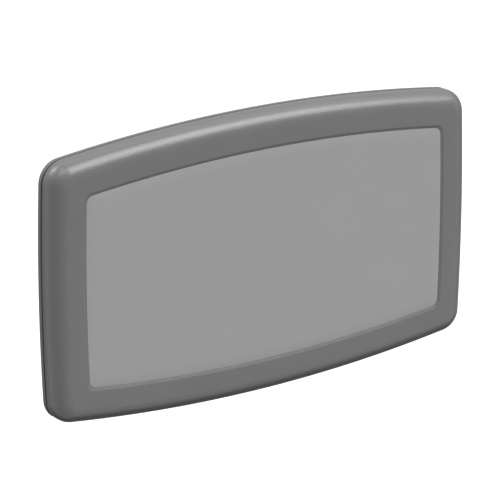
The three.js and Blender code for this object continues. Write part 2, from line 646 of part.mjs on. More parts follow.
// Liner dispenser: a box on the pan's back with a pull slot and a refill lid along its top
{
  const frontFaceY = seatY - BOX_DEPTH;
  const frontInsideY = frontFaceY + BOX_WALL;
  const insideX = boxX - BOX_WALL;
  const insideTop = boxTop - BOX_WALL;
  const openingTop = insideTop - BOX_TOP_LIP;
  const lidTop = openingTop - FIT;
  const lidAxisY = frontFaceY + BOX_WALL / 2;
  const lidAxisZ = lidTop - LID_HEIGHT;
  const openingBottom = lidAxisZ - LID_BARREL_D / 2 - FIT;
  const pullZ = boxBottom + PULL_ABOVE + PULL_HEIGHT / 2;
  const pullX = (PULL_WIDTH - PULL_HEIGHT) / 2;
  const lidPin = barX(LID_PIN_D, TOUCH - boxX, boxX - TOUCH, lidAxisY, lidAxisZ, SHANK_SIDES);
  const pinHole = barX(LID_PIN_D + 2 * RUNNING, -WIDTH, WIDTH, lidAxisY, lidAxisZ, SHANK_SIDES);
  const box = block(-boxX, boxX, frontFaceY, seatY, boxBottom, boxTop);
  const tab = block(-boxX - TAB, boxX + TAB, seatY - BOX_WALL, seatY, tabZ - TAB / 2, tabZ + TAB / 2);
  const through = [frontFaceY - OVERCUT, frontInsideY + OVERCUT];
  const cuts = [
    block(-insideX, insideX, frontInsideY, seatY - BOX_WALL, boxBottom + BOX_WALL, insideTop),
    block(-insideX, insideX, ...through, openingBottom, openingTop),
    block(-pullX, pullX, ...through, pullZ - PULL_HEIGHT / 2, pullZ + PULL_HEIGHT / 2),
    ...[-pullX, pullX].map((x) => barY(PULL_HEIGHT, ...through, x, pullZ, FINE_SIDES)),
    pinHole,
    ...[-tabX, tabX].map((x) => screwHole(seatY - BOX_WALL - OVERCUT, 0, x, tabZ)),
  ];
  const body = cuts.reduce((whole, cut) => whole.subtract(cut), join(box, tab));
  piece('dispenser_box', body, innerGrey);
  piece('lid_hinge_pin', lidPin, zincSteel);
  for (const [name, x] of [['left', -tabX], ['right', tabX]]) {
    const grip = BOX_WALL + SHELL_WALL - BLIND;
    piece(`dispenser_screw_${name}`, screw(seatY - BOX_WALL - TOUCH, grip, x, tabZ), zincSteel);
  }

  // Refill lid with a round barrel along its lower edge
  const lockZ = lidAxisZ + LOCK_ABOVE;
  const lidX = insideX - FIT;
  const lid = join(
    block(-lidX, lidX, frontFaceY, frontInsideY, lidAxisZ, lidTop),
    barX(LID_BARREL_D, -lidX, lidX, lidAxisY, lidAxisZ),
  )
    .subtract(pinHole)
    .subtract(barY(LOCK_D + 2 * RUNNING, ...through, 0, lockZ, FINE_SIDES));
  piece('dispenser_lid', lid, innerGrey);

  // Cam lock, shown unlocked with its cam to one side
  const camY = frontInsideY + SWING;
  const lock = join(
    barY(LOCK_RIM_D, frontFaceY - TOUCH - LOCK_RIM, frontFaceY - TOUCH, 0, lockZ, FINE_SIDES),
    barY(LOCK_D, frontFaceY - TOUCH - LOCK_RIM / 2, camY + CAM_THICK, 0, lockZ, FINE_SIDES),
    block(0, CAM_LENGTH, camY, camY + CAM_THICK, lockZ - CAM_WIDTH / 2, lockZ + CAM_WIDTH / 2),
  );
  piece('dispenser_lock', lock, chrome);
}

// Bag hooks on the pan's back, halfway between the dispenser and the gas spring's cover, and mirrored
for (const [name, side] of [['left', -1], ['right', 1]]) {
  const x = side * (boxX + TAB + springX - coverHalf) / 2;
  const hookZ = boxTop - HOOK_BELOW_BOX_TOP;
  const plateY = seatY - HOOK_PLATE;
  const plate = block(
    x - HOOK_PLATE_WIDTH / 2, x + HOOK_PLATE_WIDTH / 2, plateY, seatY,
    hookZ - HOOK_PLATE_HEIGHT / 2, hookZ + HOOK_PLATE_HEIGHT / 2,
  );
  const turn = Array.from({ length: ROUND_STEPS + 1 }, (_, i) => {
    const angle = (i / ROUND_STEPS) * Math.PI / 2;
    return new THREE.Vector2(
      plateY - HOOK_REACH + HOOK_ARM * (1 - Math.sin(angle)), hookZ + HOOK_ARM * (1 - Math.cos(angle)),
    );
  });
  const path = [
    new THREE.Vector2(plateY + HOOK_PLATE / 2, hookZ), ...turn,
    new THREE.Vector2(plateY - HOOK_REACH, hookZ + HOOK_TIP),
  ];
  piece(`bag_hook_${name}`, join(plate, ribbon(path, HOOK_ARM, HOOK_ARM_WIDTH, x)), innerGrey);
}

// Where screws join the changing surface to the bed's front shell
const screwSideZ = [halfHeight - SCREW_FROM_TOP, SCREW_FROM_BOTTOM - halfHeight];
const screwPlaces = [-1, 1].flatMap((side) => [
  [side * screwTopX, topEdgeZ(screwTopX) - SCREW_INSET],
  ...screwSideZ.map((z) => [side * (sideEdgeX(z) - SCREW_INSET), z]),
]);
const bossTopY = flangeY - BASIN_WALL - TOUCH;

// Bed hinge rail: it follows the bowed lower edge on the frame's flat inside, which sets its height
const bedRailX0 = -shaftEnd;
const bedRailX1 = crankX1;
const bedRailY = frameInsideY + TOUCH;
const railLowInset = FRONT_ROUND + FIT;
const railHighInset = PANEL_INSET - PANEL_BEVEL - SHELL_WALL - FIT;
const railScrewInset = (railLowInset + railHighInset - STEEL) / 2;
const railScrewPlaces = [-1, 1].flatMap((side) => earPlaces.map((x, i) => {
  const screwX = x - RAIL_SCREW_FROM_EAR[i];
  return [side * screwX, bottomEdgeZ(screwX) + railScrewInset];
}));

// Bed front shell: a rounded frame with a bevelled recess for the panel
{
  const bevelInset = PANEL_INSET - PANEL_BEVEL;
  const outside = [
    [PANEL_INSET, panelSeatY, PANEL_CORNER],
    [PANEL_INSET, panelY - PANEL_RECESS + PANEL_BEVEL, PANEL_CORNER],
    [bevelInset, frontY, PANEL_CORNER],
    ...quarterRound(FRONT_ROUND, 0, frontY),
    [0, bedEdgeY],
  ];
  const inside = quarterRound(roundInside, SHELL_WALL, frameInsideY);
  const skin = loft([
    ...outside,
    [SHELL_WALL, bedEdgeY],
    ...inside.reverse(),
    [bevelInset - SHELL_WALL, frameInsideY, PANEL_CORNER],
    [PANEL_INSET - SHELL_WALL, frameInsideY + PANEL_BEVEL, PANEL_CORNER],
    [PANEL_INSET - SHELL_WALL, floorInsideY, PANEL_CORNER],
  ]);
  const filled = loft(outside);
  const bosses = screwPlaces.map(([x, z]) => (
    barY(SCREW_BOSS_D, frameInsideY - SHELL_WALL / 2, bossTopY, x, z, HEAD_SIDES).intersect(filled)
  ));
  const cuts = [
    ...screwPlaces.map(([x, z]) => screwHole(bossTopY - SCREW_GRIP, bossTopY + OVERCUT, x, z)),
    ...railScrewPlaces.map(([x, z]) => (
      screwHole(frameInsideY - RAIL_SCREW_GRIP, frameInsideY + OVERCUT, x, z)
    )),
  ];
  const shell = cuts.reduce((whole, cut) => whole.subtract(cut), join(skin, ...bosses));
  piece('bed_front_shell', shell, shellGrey);
}

// Front panel, a plain sheet seated in the recess
piece('front_panel', loft([
  [PANEL_INSET + FIT, panelY, PANEL_CORNER - FIT],
  [PANEL_INSET + FIT, panelSeatY - TOUCH, PANEL_CORNER - FIT],
]), panelGrey);

// Height of the changing surface over its crest and slope, as y at an inset from the outline
function basinY(inset) {
  const ease = (t) => (1 - Math.cos(Math.PI * THREE.MathUtils.clamp(t, 0, 1))) / 2;
  const crestY = flangeY + CREST_RISE;
  const rise = ease((inset - crestInset + CREST_WIDTH) / CREST_WIDTH);
  const fall = ease((inset - crestInset) / SLOPE_WIDTH);
  return flangeY + CREST_RISE * rise - (crestY - basinFloorY) * fall;
}

// Changing surface: a flange, a rounded crest and a smooth basin, open below for the hinge
{
  const insets = [
    ...Array.from({ length: CREST_STEPS + 1 }, (_, i) => crestInset - CREST_WIDTH * (1 - i / CREST_STEPS)),
    ...Array.from({ length: SLOPE_STEPS }, (_, i) => crestInset + SLOPE_WIDTH * (i + 1) / SLOPE_STEPS),
  ];
  const over = insets.map((inset) => [inset, basinY(inset), BASIN_CORNER]);
  const under = over.map(([inset, y, corner]) => [inset, y - BASIN_WALL, corner]);
  const edge = [
    [flangeInset + BASIN_WALL, flangeY - BASIN_WALL, BASIN_CORNER],
    [flangeInset + BASIN_WALL, flangeY - SKIRT, BASIN_CORNER],
    [flangeInset, flangeY - SKIRT, BASIN_CORNER],
    [flangeInset, flangeY, BASIN_CORNER],
  ];
  const skin = loft([...under.reverse(), ...edge, ...over], CHANNEL);
  const holes = screwPlaces.map(([x, z]) => (
    screwHole(flangeY - BASIN_WALL - OVERCUT, flangeY + OVERCUT, x, z)
  ));
  piece('changing_surface', holes.reduce((whole, hole) => whole.subtract(hole), skin), innerGrey);
  screwPlaces.forEach(([x, z], i) => {
    const grip = BASIN_WALL + SCREW_GRIP - BLIND;
    piece(`bed_screw_${i + 1}`, rearScrew(flangeY + TOUCH, grip, x, z), zincSteel);
  });
}

// Bed hinge rail, with ears on the shaft and the crank of the gas spring at one end
{
  const lowerHalf = block(bedRailX0, bedRailX1, -DEPTH, 0, -HEIGHT, 0);
  const band = (inset, depth) => loft([[inset, bedRailY], [inset, bedRailY + depth]])
    .subtract(loft([[railHighInset, bedRailY - OVERCUT], [railHighInset, bedRailY + depth + OVERCUT]]))
    .intersect(lowerHalf);
  const plate = band(railLowInset, STEEL);
  const stiffener = band(railHighInset - STEEL, RAIL_STIFFENER);
  const rootAt = (x) => [railLowInset + RUNNING, railHighInset - RUNNING].map(
    (inset) => new THREE.Vector2(bedRailY + STEEL / 2, bottomEdgeZ(x) + inset),
  );
  const ears = stations.map(({ side, place }) => {
    const [x0, x1] = bedEarX(place);
    return lug(...rootAt(x1), axis, BOSS_D, ...across(side, x0, x1));
  });
  const bushHoleD = bushD + 2 * RUNNING;
  const bushHole = barX(bushHoleD, bedRailX0 - OVERCUT, shaftEnd, hingeY, hingeZ);
  const armSide = new THREE.Vector2().subVectors(crankPin, axis).normalize();
  const acrossArm = new THREE.Vector2(-armSide.y, armSide.x).multiplyScalar(CRANK_BOSS_D / 2);
  const armRoot = [1, -1].map((end) => axis.clone().addScaledVector(acrossArm, end));
  const crank = join(
    lug(...rootAt(crankX1), axis, CRANK_BOSS_D, crankX0, crankX1),
    lug(...armRoot, crankPin, CRANK_BOSS_D, crankX0, crankX1),
  ).subtract(barX(CRANK_PIN_D + 2 * RUNNING, crankX0 - OVERCUT, crankX1 + OVERCUT, ...crankPin));
  const plateBackY = bedRailY + STEEL;
  const screwHoles = railScrewPlaces.map(([x, z]) => (
    screwHole(bedRailY - OVERCUT, plateBackY + OVERCUT, x, z)
  ));
  const earRail = join(plate, stiffener, ...ears).subtract(bushHole);
  const rail = screwHoles.reduce((whole, hole) => whole.subtract(hole), earRail.add(crank));
  piece('bed_hinge_rail', rail, darkSteel);
  railScrewPlaces.forEach(([x, z], i) => {
    const grip = STEEL + 2 * TOUCH + RAIL_SCREW_GRIP - BLIND;
    piece(`bed_rail_screw_${i + 1}`, rearScrew(plateBackY + TOUCH, grip, x, z), zincSteel);
  });
}

// Bushes between the bed's ears and the shaft
stations.forEach(({ side, place }, i) => {
  const [x0, x1] = bedEarX(place);
  const sleeve = barX(bushD, ...across(side, x0, x1 + RUNNING), hingeY, hingeZ);
  const flange = barX(
    BUSH_FLANGE_D, ...across(side, x1 + RUNNING, x1 + RUNNING + BUSH_FLANGE), hingeY, hingeZ,
  );
  const bore = barX(SHAFT_D + 2 * RUNNING, -WIDTH, WIDTH, hingeY, hingeZ);
  piece(`hinge_bush_${i + 1}`, join(sleeve, flange).subtract(bore), nylon);
});

// Crank pin, headed beyond the eye of the gas spring's rod
{
  const headX = eyeX1 + SWING;
  const pin = barX(CRANK_PIN_D, crankX0, headX + STEEL / 2, ...crankPin);
  const head = barX(CRANK_PIN_HEAD_D, headX, headX + STEEL / 2 + RUNNING, ...crankPin);
  piece('crank_pin', join(pin, head), zincSteel);
}

// Safety strap: two halves that follow the basin from an anchor on each slope to the buckle
const upperZ = (inset) => halfHeight - inset;
const lowerZ = (inset) => inset + CHANNEL - halfHeight;
const webY = WEB_FLOAT + WEB_THICK / 2;
const anchorInset = crestInset + ANCHOR_INTO_SLOPE;
const socketEndZ = buckleZ + SOCKET_LENGTH;
const plugEndZ = buckleZ - TOUCH - PLUG_LENGTH;

function strapPath(zAt, endInset) {
  const startInset = anchorInset - ANCHOR_LENGTH / 2;
  return Array.from({ length: WEB_STEPS + 1 }, (_, i) => {
    const inset = THREE.MathUtils.lerp(startInset, endInset, i / WEB_STEPS);
    return new THREE.Vector2(basinY(inset) + webY, zAt(inset));
  });
}

const upperPath = strapPath(upperZ, halfHeight - socketEndZ - TOUCH);
const lowerPath = strapPath(lowerZ, halfHeight - CHANNEL + plugEndZ);
piece('strap_upper', ribbon(upperPath, WEB_THICK, WEB_WIDTH), webbing);
piece('strap_lower', ribbon(lowerPath, WEB_THICK, WEB_WIDTH), webbing);

// Anchors: bridges that clamp the strap's ends to the slopes
for (const [name, zAt, side] of [['upper', upperZ, -1], ['lower', lowerZ, 1]]) {
  const under = WEB_FLOAT + WEB_THICK + 2 * TOUCH;
  const anchor = new THREE.Group();
  const fall = basinY(anchorInset - 1) - basinY(anchorInset + 1);
  anchor.position.set(0, basinY(anchorInset) + FIT, zAt(anchorInset));
  anchor.rotation.x = side * Math.atan2(fall, 2);
  station.add(anchor);
  const half = ANCHOR_LENGTH / 2;
  const bridge = block(-ANCHOR_WIDTH / 2, ANCHOR_WIDTH / 2, 0, under + ANCHOR_TOP, -half, half);
  const tunnelX = WEB_WIDTH / 2 + FIT;
  const tunnel = block(-tunnelX, tunnelX, -OVERCUT, under, -ANCHOR_LENGTH, ANCHOR_LENGTH);
  piece(`strap_anchor_${name}`, bridge.subtract(tunnel), nylon, anchor);
}

// Buckle: a socket on the upper strap and a plug that draws out of it downward
{
  const half = BUCKLE_WIDTH / 2;
  const baseY = basinFloorY + WEB_FLOAT + WEB_THICK + FIT;
  const topY = baseY + SOCKET_THICK;
  const tongueX = TONGUE_WIDTH / 2;
  const tongueY0 = baseY + SOCKET_WALL + FIT;
  const tongueY1 = topY - SOCKET_WALL - FIT;
  const cavity = block(
    -tongueX - FIT, tongueX + FIT, tongueY0 - FIT, tongueY1 + FIT,
    buckleZ - OVERCUT, buckleZ + TONGUE_LENGTH + SWING,
  );
  piece('buckle_socket', block(-half, half, baseY, topY, buckleZ, socketEndZ).subtract(cavity), nylon);

  const slotZ0 = plugEndZ + SOCKET_WALL;
  const slotX = WEB_WIDTH / 2 + FIT;
  const slotZ1 = slotZ0 + 2 * WEB_THICK + 2 * FIT;
  const slot = block(-slotX, slotX, baseY - OVERCUT, topY + OVERCUT, slotZ0, slotZ1);
  const plug = join(
    block(-half, half, baseY, topY, plugEndZ, buckleZ - TOUCH),
    block(-tongueX, tongueX, tongueY0, tongueY1, buckleZ - SOCKET_WALL, buckleZ + TONGUE_LENGTH),
  ).subtract(slot);
  piece('buckle_plug', plug, nylon);

  const tailY = baseY + WEB_THICK / 2;
  const tail = [plugEndZ - TAIL_LENGTH, plugEndZ - TOUCH].map((z) => new THREE.Vector2(tailY, z));
  piece('strap_tail', ribbon(tail, WEB_THICK, WEB_WIDTH), webbing);
}

export default station;
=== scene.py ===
"""Looks of a wall-hung baby changing station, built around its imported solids, in metres."""

import json
import math

import bmesh
import bpy
import numpy as np
from mathutils import Matrix, Vector


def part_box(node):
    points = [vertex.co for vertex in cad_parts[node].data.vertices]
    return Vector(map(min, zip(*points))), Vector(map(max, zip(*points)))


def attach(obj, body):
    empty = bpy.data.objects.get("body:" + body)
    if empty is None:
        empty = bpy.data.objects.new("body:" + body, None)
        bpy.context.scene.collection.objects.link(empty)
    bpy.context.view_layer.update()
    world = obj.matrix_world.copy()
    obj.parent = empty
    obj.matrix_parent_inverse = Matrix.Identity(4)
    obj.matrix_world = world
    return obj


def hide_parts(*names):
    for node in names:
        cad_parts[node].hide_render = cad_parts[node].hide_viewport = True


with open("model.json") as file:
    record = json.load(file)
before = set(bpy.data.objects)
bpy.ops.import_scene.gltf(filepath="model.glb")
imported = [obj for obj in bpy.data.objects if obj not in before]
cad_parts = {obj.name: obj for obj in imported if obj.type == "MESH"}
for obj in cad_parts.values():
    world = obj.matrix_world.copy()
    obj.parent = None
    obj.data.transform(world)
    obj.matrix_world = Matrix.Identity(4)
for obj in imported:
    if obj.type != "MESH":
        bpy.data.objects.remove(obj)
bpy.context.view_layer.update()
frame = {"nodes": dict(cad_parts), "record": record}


# Rear housing
# A thermoformed tray of dark grey polyethylene: a shallow rim that follows the outline and a pan behind it
# that lies against the wall. Its lower edge is cut away for the hinge, and the gas spring passes a notch.
shell_low, shell_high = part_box("bed_front_shell")
HALF_WIDTH = shell_high.x
HALF_HEIGHT = shell_high.z
TOP_BOW = 3.170
SIDE_BOW = 4.280
CORNER = 0.042
CORNER_LEAST = 0.012
SIDE_COUNT = 36
TOP_COUNT = 72
CORNER_COUNT = 14


def round_centre(a, b, radius, sign_x, sign_z):
    """Centre of the circle that touches two arcs (x, z, r) from inside, in the corner named by the signs."""
    start = np.array(a[:2])
    span = np.array(b[:2]) - start
    length = np.hypot(*span)
    span /= length
    near, far = a[2] - radius, b[2] - radius
    along = (near**2 - far**2 + length**2) / (2 * length)
    across = math.sqrt(near**2 - along**2) * np.array([-span[1], span[0]])
    foot = start + along * span
    return max(foot + across, foot - across, key=lambda p: p[0] * sign_x + p[1] * sign_z)


def outline(inset, corner=None, lift=0.0):
    """Points (x, z) of the outline moved inward: four arcs and round corners, lower edge raised by lift."""
    corner = max(CORNER - inset, CORNER_LEAST) if corner is None else corner
    right = (HALF_WIDTH - SIDE_BOW, 0.0, SIDE_BOW - inset)
    top = (0.0, HALF_HEIGHT - TOP_BOW, TOP_BOW - inset)
    left = (-right[0], 0.0, right[2])
    bottom = (0.0, lift - top[1], top[2])
    sides = [right, top, left, bottom]
    counts = [SIDE_COUNT, TOP_COUNT, SIDE_COUNT, TOP_COUNT]
    signs = [(1, 1), (-1, 1), (-1, -1), (1, -1)]
    rounds = [round_centre(sides[i], sides[(i + 1) % 4], corner, *signs[i]) for i in range(4)]

    def bearing(side, point):
        return math.atan2(point[1] - side[1], point[0] - side[0])

    def arc(x, z, radius, start, end, count):
        angles = start + (end - start) % math.tau * np.arange(count) / count
        return np.stack([x + radius * np.cos(angles), z + radius * np.sin(angles)], 1)

    runs = []
    for i, side in enumerate(sides):
        here, after = rounds[i], sides[(i + 1) % 4]
        runs.append(arc(*side, bearing(side, rounds[i - 1]), bearing(side, here), counts[i]))
        runs.append(arc(*here, corner, bearing(side, here), bearing(after, here), CORNER_COUNT))
    return np.concatenate(runs)


def bend(start, corner, end, radius, steps=5):
    """Points of the arc of a radius that touches both legs of a corner."""
    start, corner, end = (np.array(p, float) for p in (start, corner, end))
    to_start = (start - corner) / np.linalg.norm(start - corner)
    to_end = (end - corner) / np.linalg.norm(end - corner)
    half = math.acos(np.clip(to_start @ to_end, -1, 1)) / 2
    between = (to_start + to_end) / np.linalg.norm(to_start + to_end)
    centre = corner + between * radius / math.sin(half)
    first = corner + to_start * radius / math.tan(half) - centre
    last = corner + to_end * radius / math.tan(half) - centre
    share = np.linspace(0, 1, steps + 1)[:, None]
    swing = math.pi - 2 * half
    points = (np.sin((1 - share) * swing) * first + np.sin(share * swing) * last) / math.sin(swing)
    return (centre + points).tolist()


def rounded(corners, closed=False):
    """A profile of corners (a, b, radius), each eased by its own arc; radius 0 keeps a corner sharp."""
    points = []
    for i, (a, b, radius) in enumerate(corners):
        if radius == 0 or not closed and i in (0, len(corners) - 1):
            points.append([a, b])
        else:
            points += bend(corners[i - 1][:2], (a, b), corners[(i + 1) % len(corners)][:2], radius)
    return points


def turned_out(mesh, crease=40):
    """Merges doubles, fills slits, turns faces outwards and shades smooth up to a crease in degrees."""
    work = bmesh.new()
    work.from_mesh(mesh)
    bmesh.ops.remove_doubles(work, verts=work.verts, dist=1e-6)
    bmesh.ops.holes_fill(work, edges=work.edges, sides=4)
    bmesh.ops.recalc_face_normals(work, faces=work.faces)
    work.to_mesh(mesh)
    work.free()
    mesh.shade_smooth()
    mesh.set_sharp_from_angle(angle=math.radians(crease))
    return mesh


def skin(rings, closed=False, crease=40):
    """A mesh through rings of points, joined by quads; end rings are filled, or joined if it is closed."""
    rings = np.asarray(rings)
    count, around = rings.shape[-3:-1]
    at = np.arange(rings.size // 3).reshape(-1, count, around)
    start, end = (at, np.roll(at, -1, axis=1)) if closed else (at[:, :-1], at[:, 1:])
    quads = np.stack([start, np.roll(start, -1, axis=2), np.roll(end, -1, axis=2), end], -1).reshape(-1, 4)
    caps = [] if closed else [*at[:, 0].tolist(), *at[:, -1].tolist()]
    mesh = bpy.data.meshes.new("skin")
    mesh.from_pydata(rings.reshape(-1, 3).tolist(), [], quads.tolist() + caps)
    return turned_out(mesh, crease)


SHELL_WALL = 0.004
EDGE_BREAK = 0.0004
RIM_DEPTH = 0.012
RIM_SETBACK = 0.0022
RIM_BEND = 0.003
RIM_LAP = 0.002
RIM_GAP_HALF = HALF_WIDTH - 0.051
RIM_POINTS = 640
PAN_INSET = 0.036
housing_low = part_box("rear_housing")[0]
RIM_FRONT_Y = housing_low.y + RIM_SETBACK
RIM_BACK_Y = housing_low.y + RIM_DEPTH
RIM_FLOOR_Y = RIM_BACK_Y - SHELL_WALL
RIM_END_Z = housing_low.z


def open_rim(inset, y):
    """The outline at an inset from one cut end over the top to the other, spaced evenly along its length."""
    points = outline(inset)
    lowest = np.argmin(points[:, 1] + 9 * np.abs(points[:, 0]))
    points = np.roll(points, -lowest, axis=0)
    beside_gap = (np.abs(points[:, 0]) >= RIM_GAP_HALF) | (points[:, 1] > 0)
    kept = points[(points[:, 1] >= RIM_END_Z) & beside_gap]
    run = np.concatenate([[0], np.cumsum(np.linalg.norm(np.diff(kept, axis=0), axis=1))])
    even = np.linspace(0, run[-1], RIM_POINTS)
    x, z = np.interp(even, run, kept[:, 0]), np.interp(even, run, kept[:, 1])
    return np.stack([x, np.full(RIM_POINTS, y), z], 1)


rim_inside = PAN_INSET + RIM_LAP
rim_profile = rounded([
    (0, RIM_FRONT_Y, EDGE_BREAK), (0, RIM_BACK_Y, RIM_BEND), (rim_inside, RIM_BACK_Y, 0),
    (rim_inside, RIM_FLOOR_Y, 0), (SHELL_WALL, RIM_FLOOR_Y, RIM_BEND),
    (SHELL_WALL, RIM_FRONT_Y, EDGE_BREAK),
], closed=True)
rim_mesh = skin(np.array([open_rim(inset, y) for inset, y in rim_profile]).transpose(1, 0, 2))

PAN_DRAFT = 0.008
PAN_BEND = 0.004
PAN_INNER_BEND = 0.007
PAN_FLAT = 0.02
PAN_BOTTOM_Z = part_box("wall_hinge_rail")[1].z + 0.0003


def ring(inset, y, corner=None, lift=0.0):
    """The outline at an inset, as points (x, y, z) in a plane of constant y."""
    points = outline(inset, corner, lift)
    return np.stack([points[:, 0], np.full(len(points), y), points[:, 1]], 1)


def pan_ring(inset, y, low):
    """The outline at an inset, with its lower edge cut straight at the height low."""
    points = ring(inset, y)
    points[:, 2] = np.maximum(points[:, 2], low)
    return points


pan_lip = PAN_INSET - RIM_LAP
pan_lip_y = RIM_FLOOR_Y - 0.0002
pan_back = PAN_INSET + PAN_DRAFT
pan_inside = pan_back + SHELL_WALL
pan_out = rounded([
    (pan_back + PAN_FLAT, 0, 0), (pan_back, 0, PAN_BEND), (PAN_INSET, RIM_BACK_Y, 0),
    (pan_lip, RIM_FLOOR_Y + RIM_LAP, 0),
])
pan_in = rounded([
    (pan_lip, pan_lip_y, 0), (PAN_INSET + SHELL_WALL, pan_lip_y, PAN_BEND),
    (pan_inside, -SHELL_WALL, PAN_INNER_BEND), (pan_inside + PAN_FLAT, -SHELL_WALL, 0),
])
pan_rings = [pan_ring(inset, y, PAN_BOTTOM_Z) for inset, y in pan_out + pan_in[:1]]
pan_rings += [pan_ring(inset, y, PAN_BOTTOM_Z + SHELL_WALL) for inset, y in pan_in[1:]]


def plate_ring(x0, x1, z0, z1, corner, y, steps=6):
    """A rectangle with round corners in a plane of constant y."""
    quarter = np.linspace(0, math.pi / 2, steps + 1)
    left, right, bottom, top = x0 + corner, x1 - corner, z0 + corner, z1 - corner
    runs = []
    for i, (x, z) in enumerate([(right, top), (left, top), (left, bottom), (right, bottom)]):
        angle = quarter + i * math.pi / 2
        run = [x + corner * np.cos(angle), np.full(steps + 1, y), z + corner * np.sin(angle)]
        runs.append(np.stack(run, 1))
    return np.concatenate(runs)


def slab(x0, x1, y0, y1, z0, z1, corner, ease, steps=4):
    """A rectangle with round corners carried along y, its faces eased into its sides by quarter rounds."""
    turn = np.linspace(0, math.pi / 2, steps + 1)
    sink, depth = ease * (1 - np.sin(turn)), ease * (1 - np.cos(turn))
    ends = [*zip(sink, y0 + depth), *zip(sink[::-1], y1 - depth[::-1])]
    return skin([plate_ring(x0 + s, x1 - s, z0 + s, z1 - s, max(corner - s, 2e-5), y) for s, y in ends])


NOTCH_LEFT = 0.008
NOTCH_RIGHT = 0.013
NOTCH_RISE = 0.012
NOTCH_FRONT_Y = -0.075
rod_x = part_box("gas_spring_rod")[0].x
notch = slab(
    rod_x - NOTCH_LEFT, rod_x + NOTCH_RIGHT, NOTCH_FRONT_Y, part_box("crank_pin")[1].y + 0.003,
    PAN_BOTTOM_Z - 0.02, PAN_BOTTOM_Z + NOTCH_RISE, corner=0.003, ease=0.0005,
)


def full_turn(count):
    """Angles of a full turn, in equal steps."""
    return np.linspace(0, math.tau, count, endpoint=False)


def spun(profile, centre, axis, sides=40, closed=False, crease=40):
    """A profile of (radius, along) turned about an axis through a point; a radius may vary with angle."""
    angle = full_turn(sides)
    radius = np.array([np.broadcast_to(r, sides) for r, along in profile])
    first, second, third = {"x": (1, 2, 0), "y": (2, 0, 1), "z": (0, 1, 2)}[axis]
    points = np.zeros((len(profile), sides, 3))
    points[..., first] = centre[first] + radius * np.cos(angle)
    points[..., second] = centre[second] + radius * np.sin(angle)
    points[..., third] = np.array([along for r, along in profile], float)[:, None]
    return skin(points, closed, crease)


def middle(node):
    """Middle of a node's box."""
    low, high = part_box(node)
    return (low + high) / 2


BOLT_HOLE = 0.0045
bolt_nodes = [f"wall_bolt_{i}" for i in range(1, 5)]
through_pan = [(BOLT_HOLE, -0.03), (BOLT_HOLE, 0.01)]
bolt_holes = [spun(through_pan, middle(node), "y", 24) for node in bolt_nodes]


def added(name, data):
    """A new object in the scene."""
    thing = bpy.data.objects.new(name, data)
    bpy.context.scene.collection.objects.link(thing)
    return thing


def cut(mesh, *tools, crease=35):
    """A closed mesh with other closed meshes taken out of it."""
    blank, *cutters = [added("blank", shape) for shape in (mesh, *tools)]
    for cutter in cutters:
        difference = blank.modifiers.new("cut", "BOOLEAN")
        difference.operation = "DIFFERENCE"
        difference.solver = "EXACT"
        difference.object = cutter
    graph = bpy.context.evaluated_depsgraph_get()
    result = bpy.data.meshes.new_from_object(blank.evaluated_get(graph))
    for spent in (blank, *cutters):
        bpy.data.objects.remove(spent)
    return turned_out(result, crease)


def joined(*meshes):
    """Several meshes as the islands of one."""
    whole = bmesh.new()
    for mesh in meshes:
        whole.from_mesh(mesh)
    mesh = bpy.data.meshes.new("joined")
    whole.to_mesh(mesh)
    whole.free()
    return mesh


housing_mesh = joined(rim_mesh, cut(skin(pan_rings), notch, *bolt_holes, crease=40))


def linear(level):
    """A grey or a colour given as levels from 0 to 255, as the linear values that a shader takes."""
    share = np.broadcast_to(np.array(level, float), 3) / 255
    value = np.where(share <= 0.04045, share / 12.92, ((share + 0.055) / 1.055) ** 2.4)
    return (*value.tolist(), 1.0)


def fed(tree, node, inputs):
    """Gives inputs of a node, by name or number, a value or a link from another node's output."""
    for name, given in inputs.items():
        if isinstance(given, bpy.types.NodeSocket):
            tree.links.new(given, node.inputs[name])
        else:
            node.inputs[name].default_value = given
    return node


def wired(tree, kind, inputs=None, **settings):
    """A new shader node of a kind, with its settings and its inputs."""
    node = tree.nodes.new(f"ShaderNode{kind}")
    for name, value in settings.items():
        setattr(node, name, value)
    return fed(tree, node, inputs or {})


def worked(tree, operation, a, b=0.0):
    """A number worked out from one or two others."""
    return wired(tree, "Math", {0: a, 1: b}, operation=operation).outputs[0]


def noise(tree, scale, detail=2, roughness=0.5, stretch=(1, 1, 1)):
    """Noise over a piece's own coordinates, after a stretch along each axis."""
    spot = wired(tree, "TexCoord").outputs["Object"]
    spot = wired(tree, "Mapping", {"Vector": spot, "Scale": stretch}).outputs[0]
    inputs = {"Vector": spot, "Scale": scale, "Detail": detail, "Roughness": roughness}
    return wired(tree, "TexNoise", inputs).outputs[0]


def spread(tree, mask, low=0, high=1, start=0.3, end=0.7):
    """A number that runs from low to high as a mask runs from a start to an end."""
    inputs = {"Value": mask, "From Min": start, "From Max": end, "To Min": low, "To Max": high}
    return wired(tree, "MapRange", inputs).outputs["Result"]


def tint(tree, mask, dark, light):
    """A colour between two levels, by a mask."""
    return wired(tree, "Mix", {0: mask, 6: linear(dark), 7: linear(light)}, data_type="RGBA").outputs[2]


def relief(tree, height, depth):
    """The normal of a surface raised by a height, as deep as a depth in metres."""
    return wired(tree, "Bump", {"Height": height, "Distance": depth}).outputs["Normal"]


def finish(name):
    """A new material and its node tree."""
    material = bpy.data.materials.new(name)
    material.use_nodes = True
    return material, material.node_tree


def coat(material, inputs):
    """A material with inputs given to its shader."""
    fed(material.node_tree, material.node_tree.nodes["Principled BSDF"], inputs)
    return material


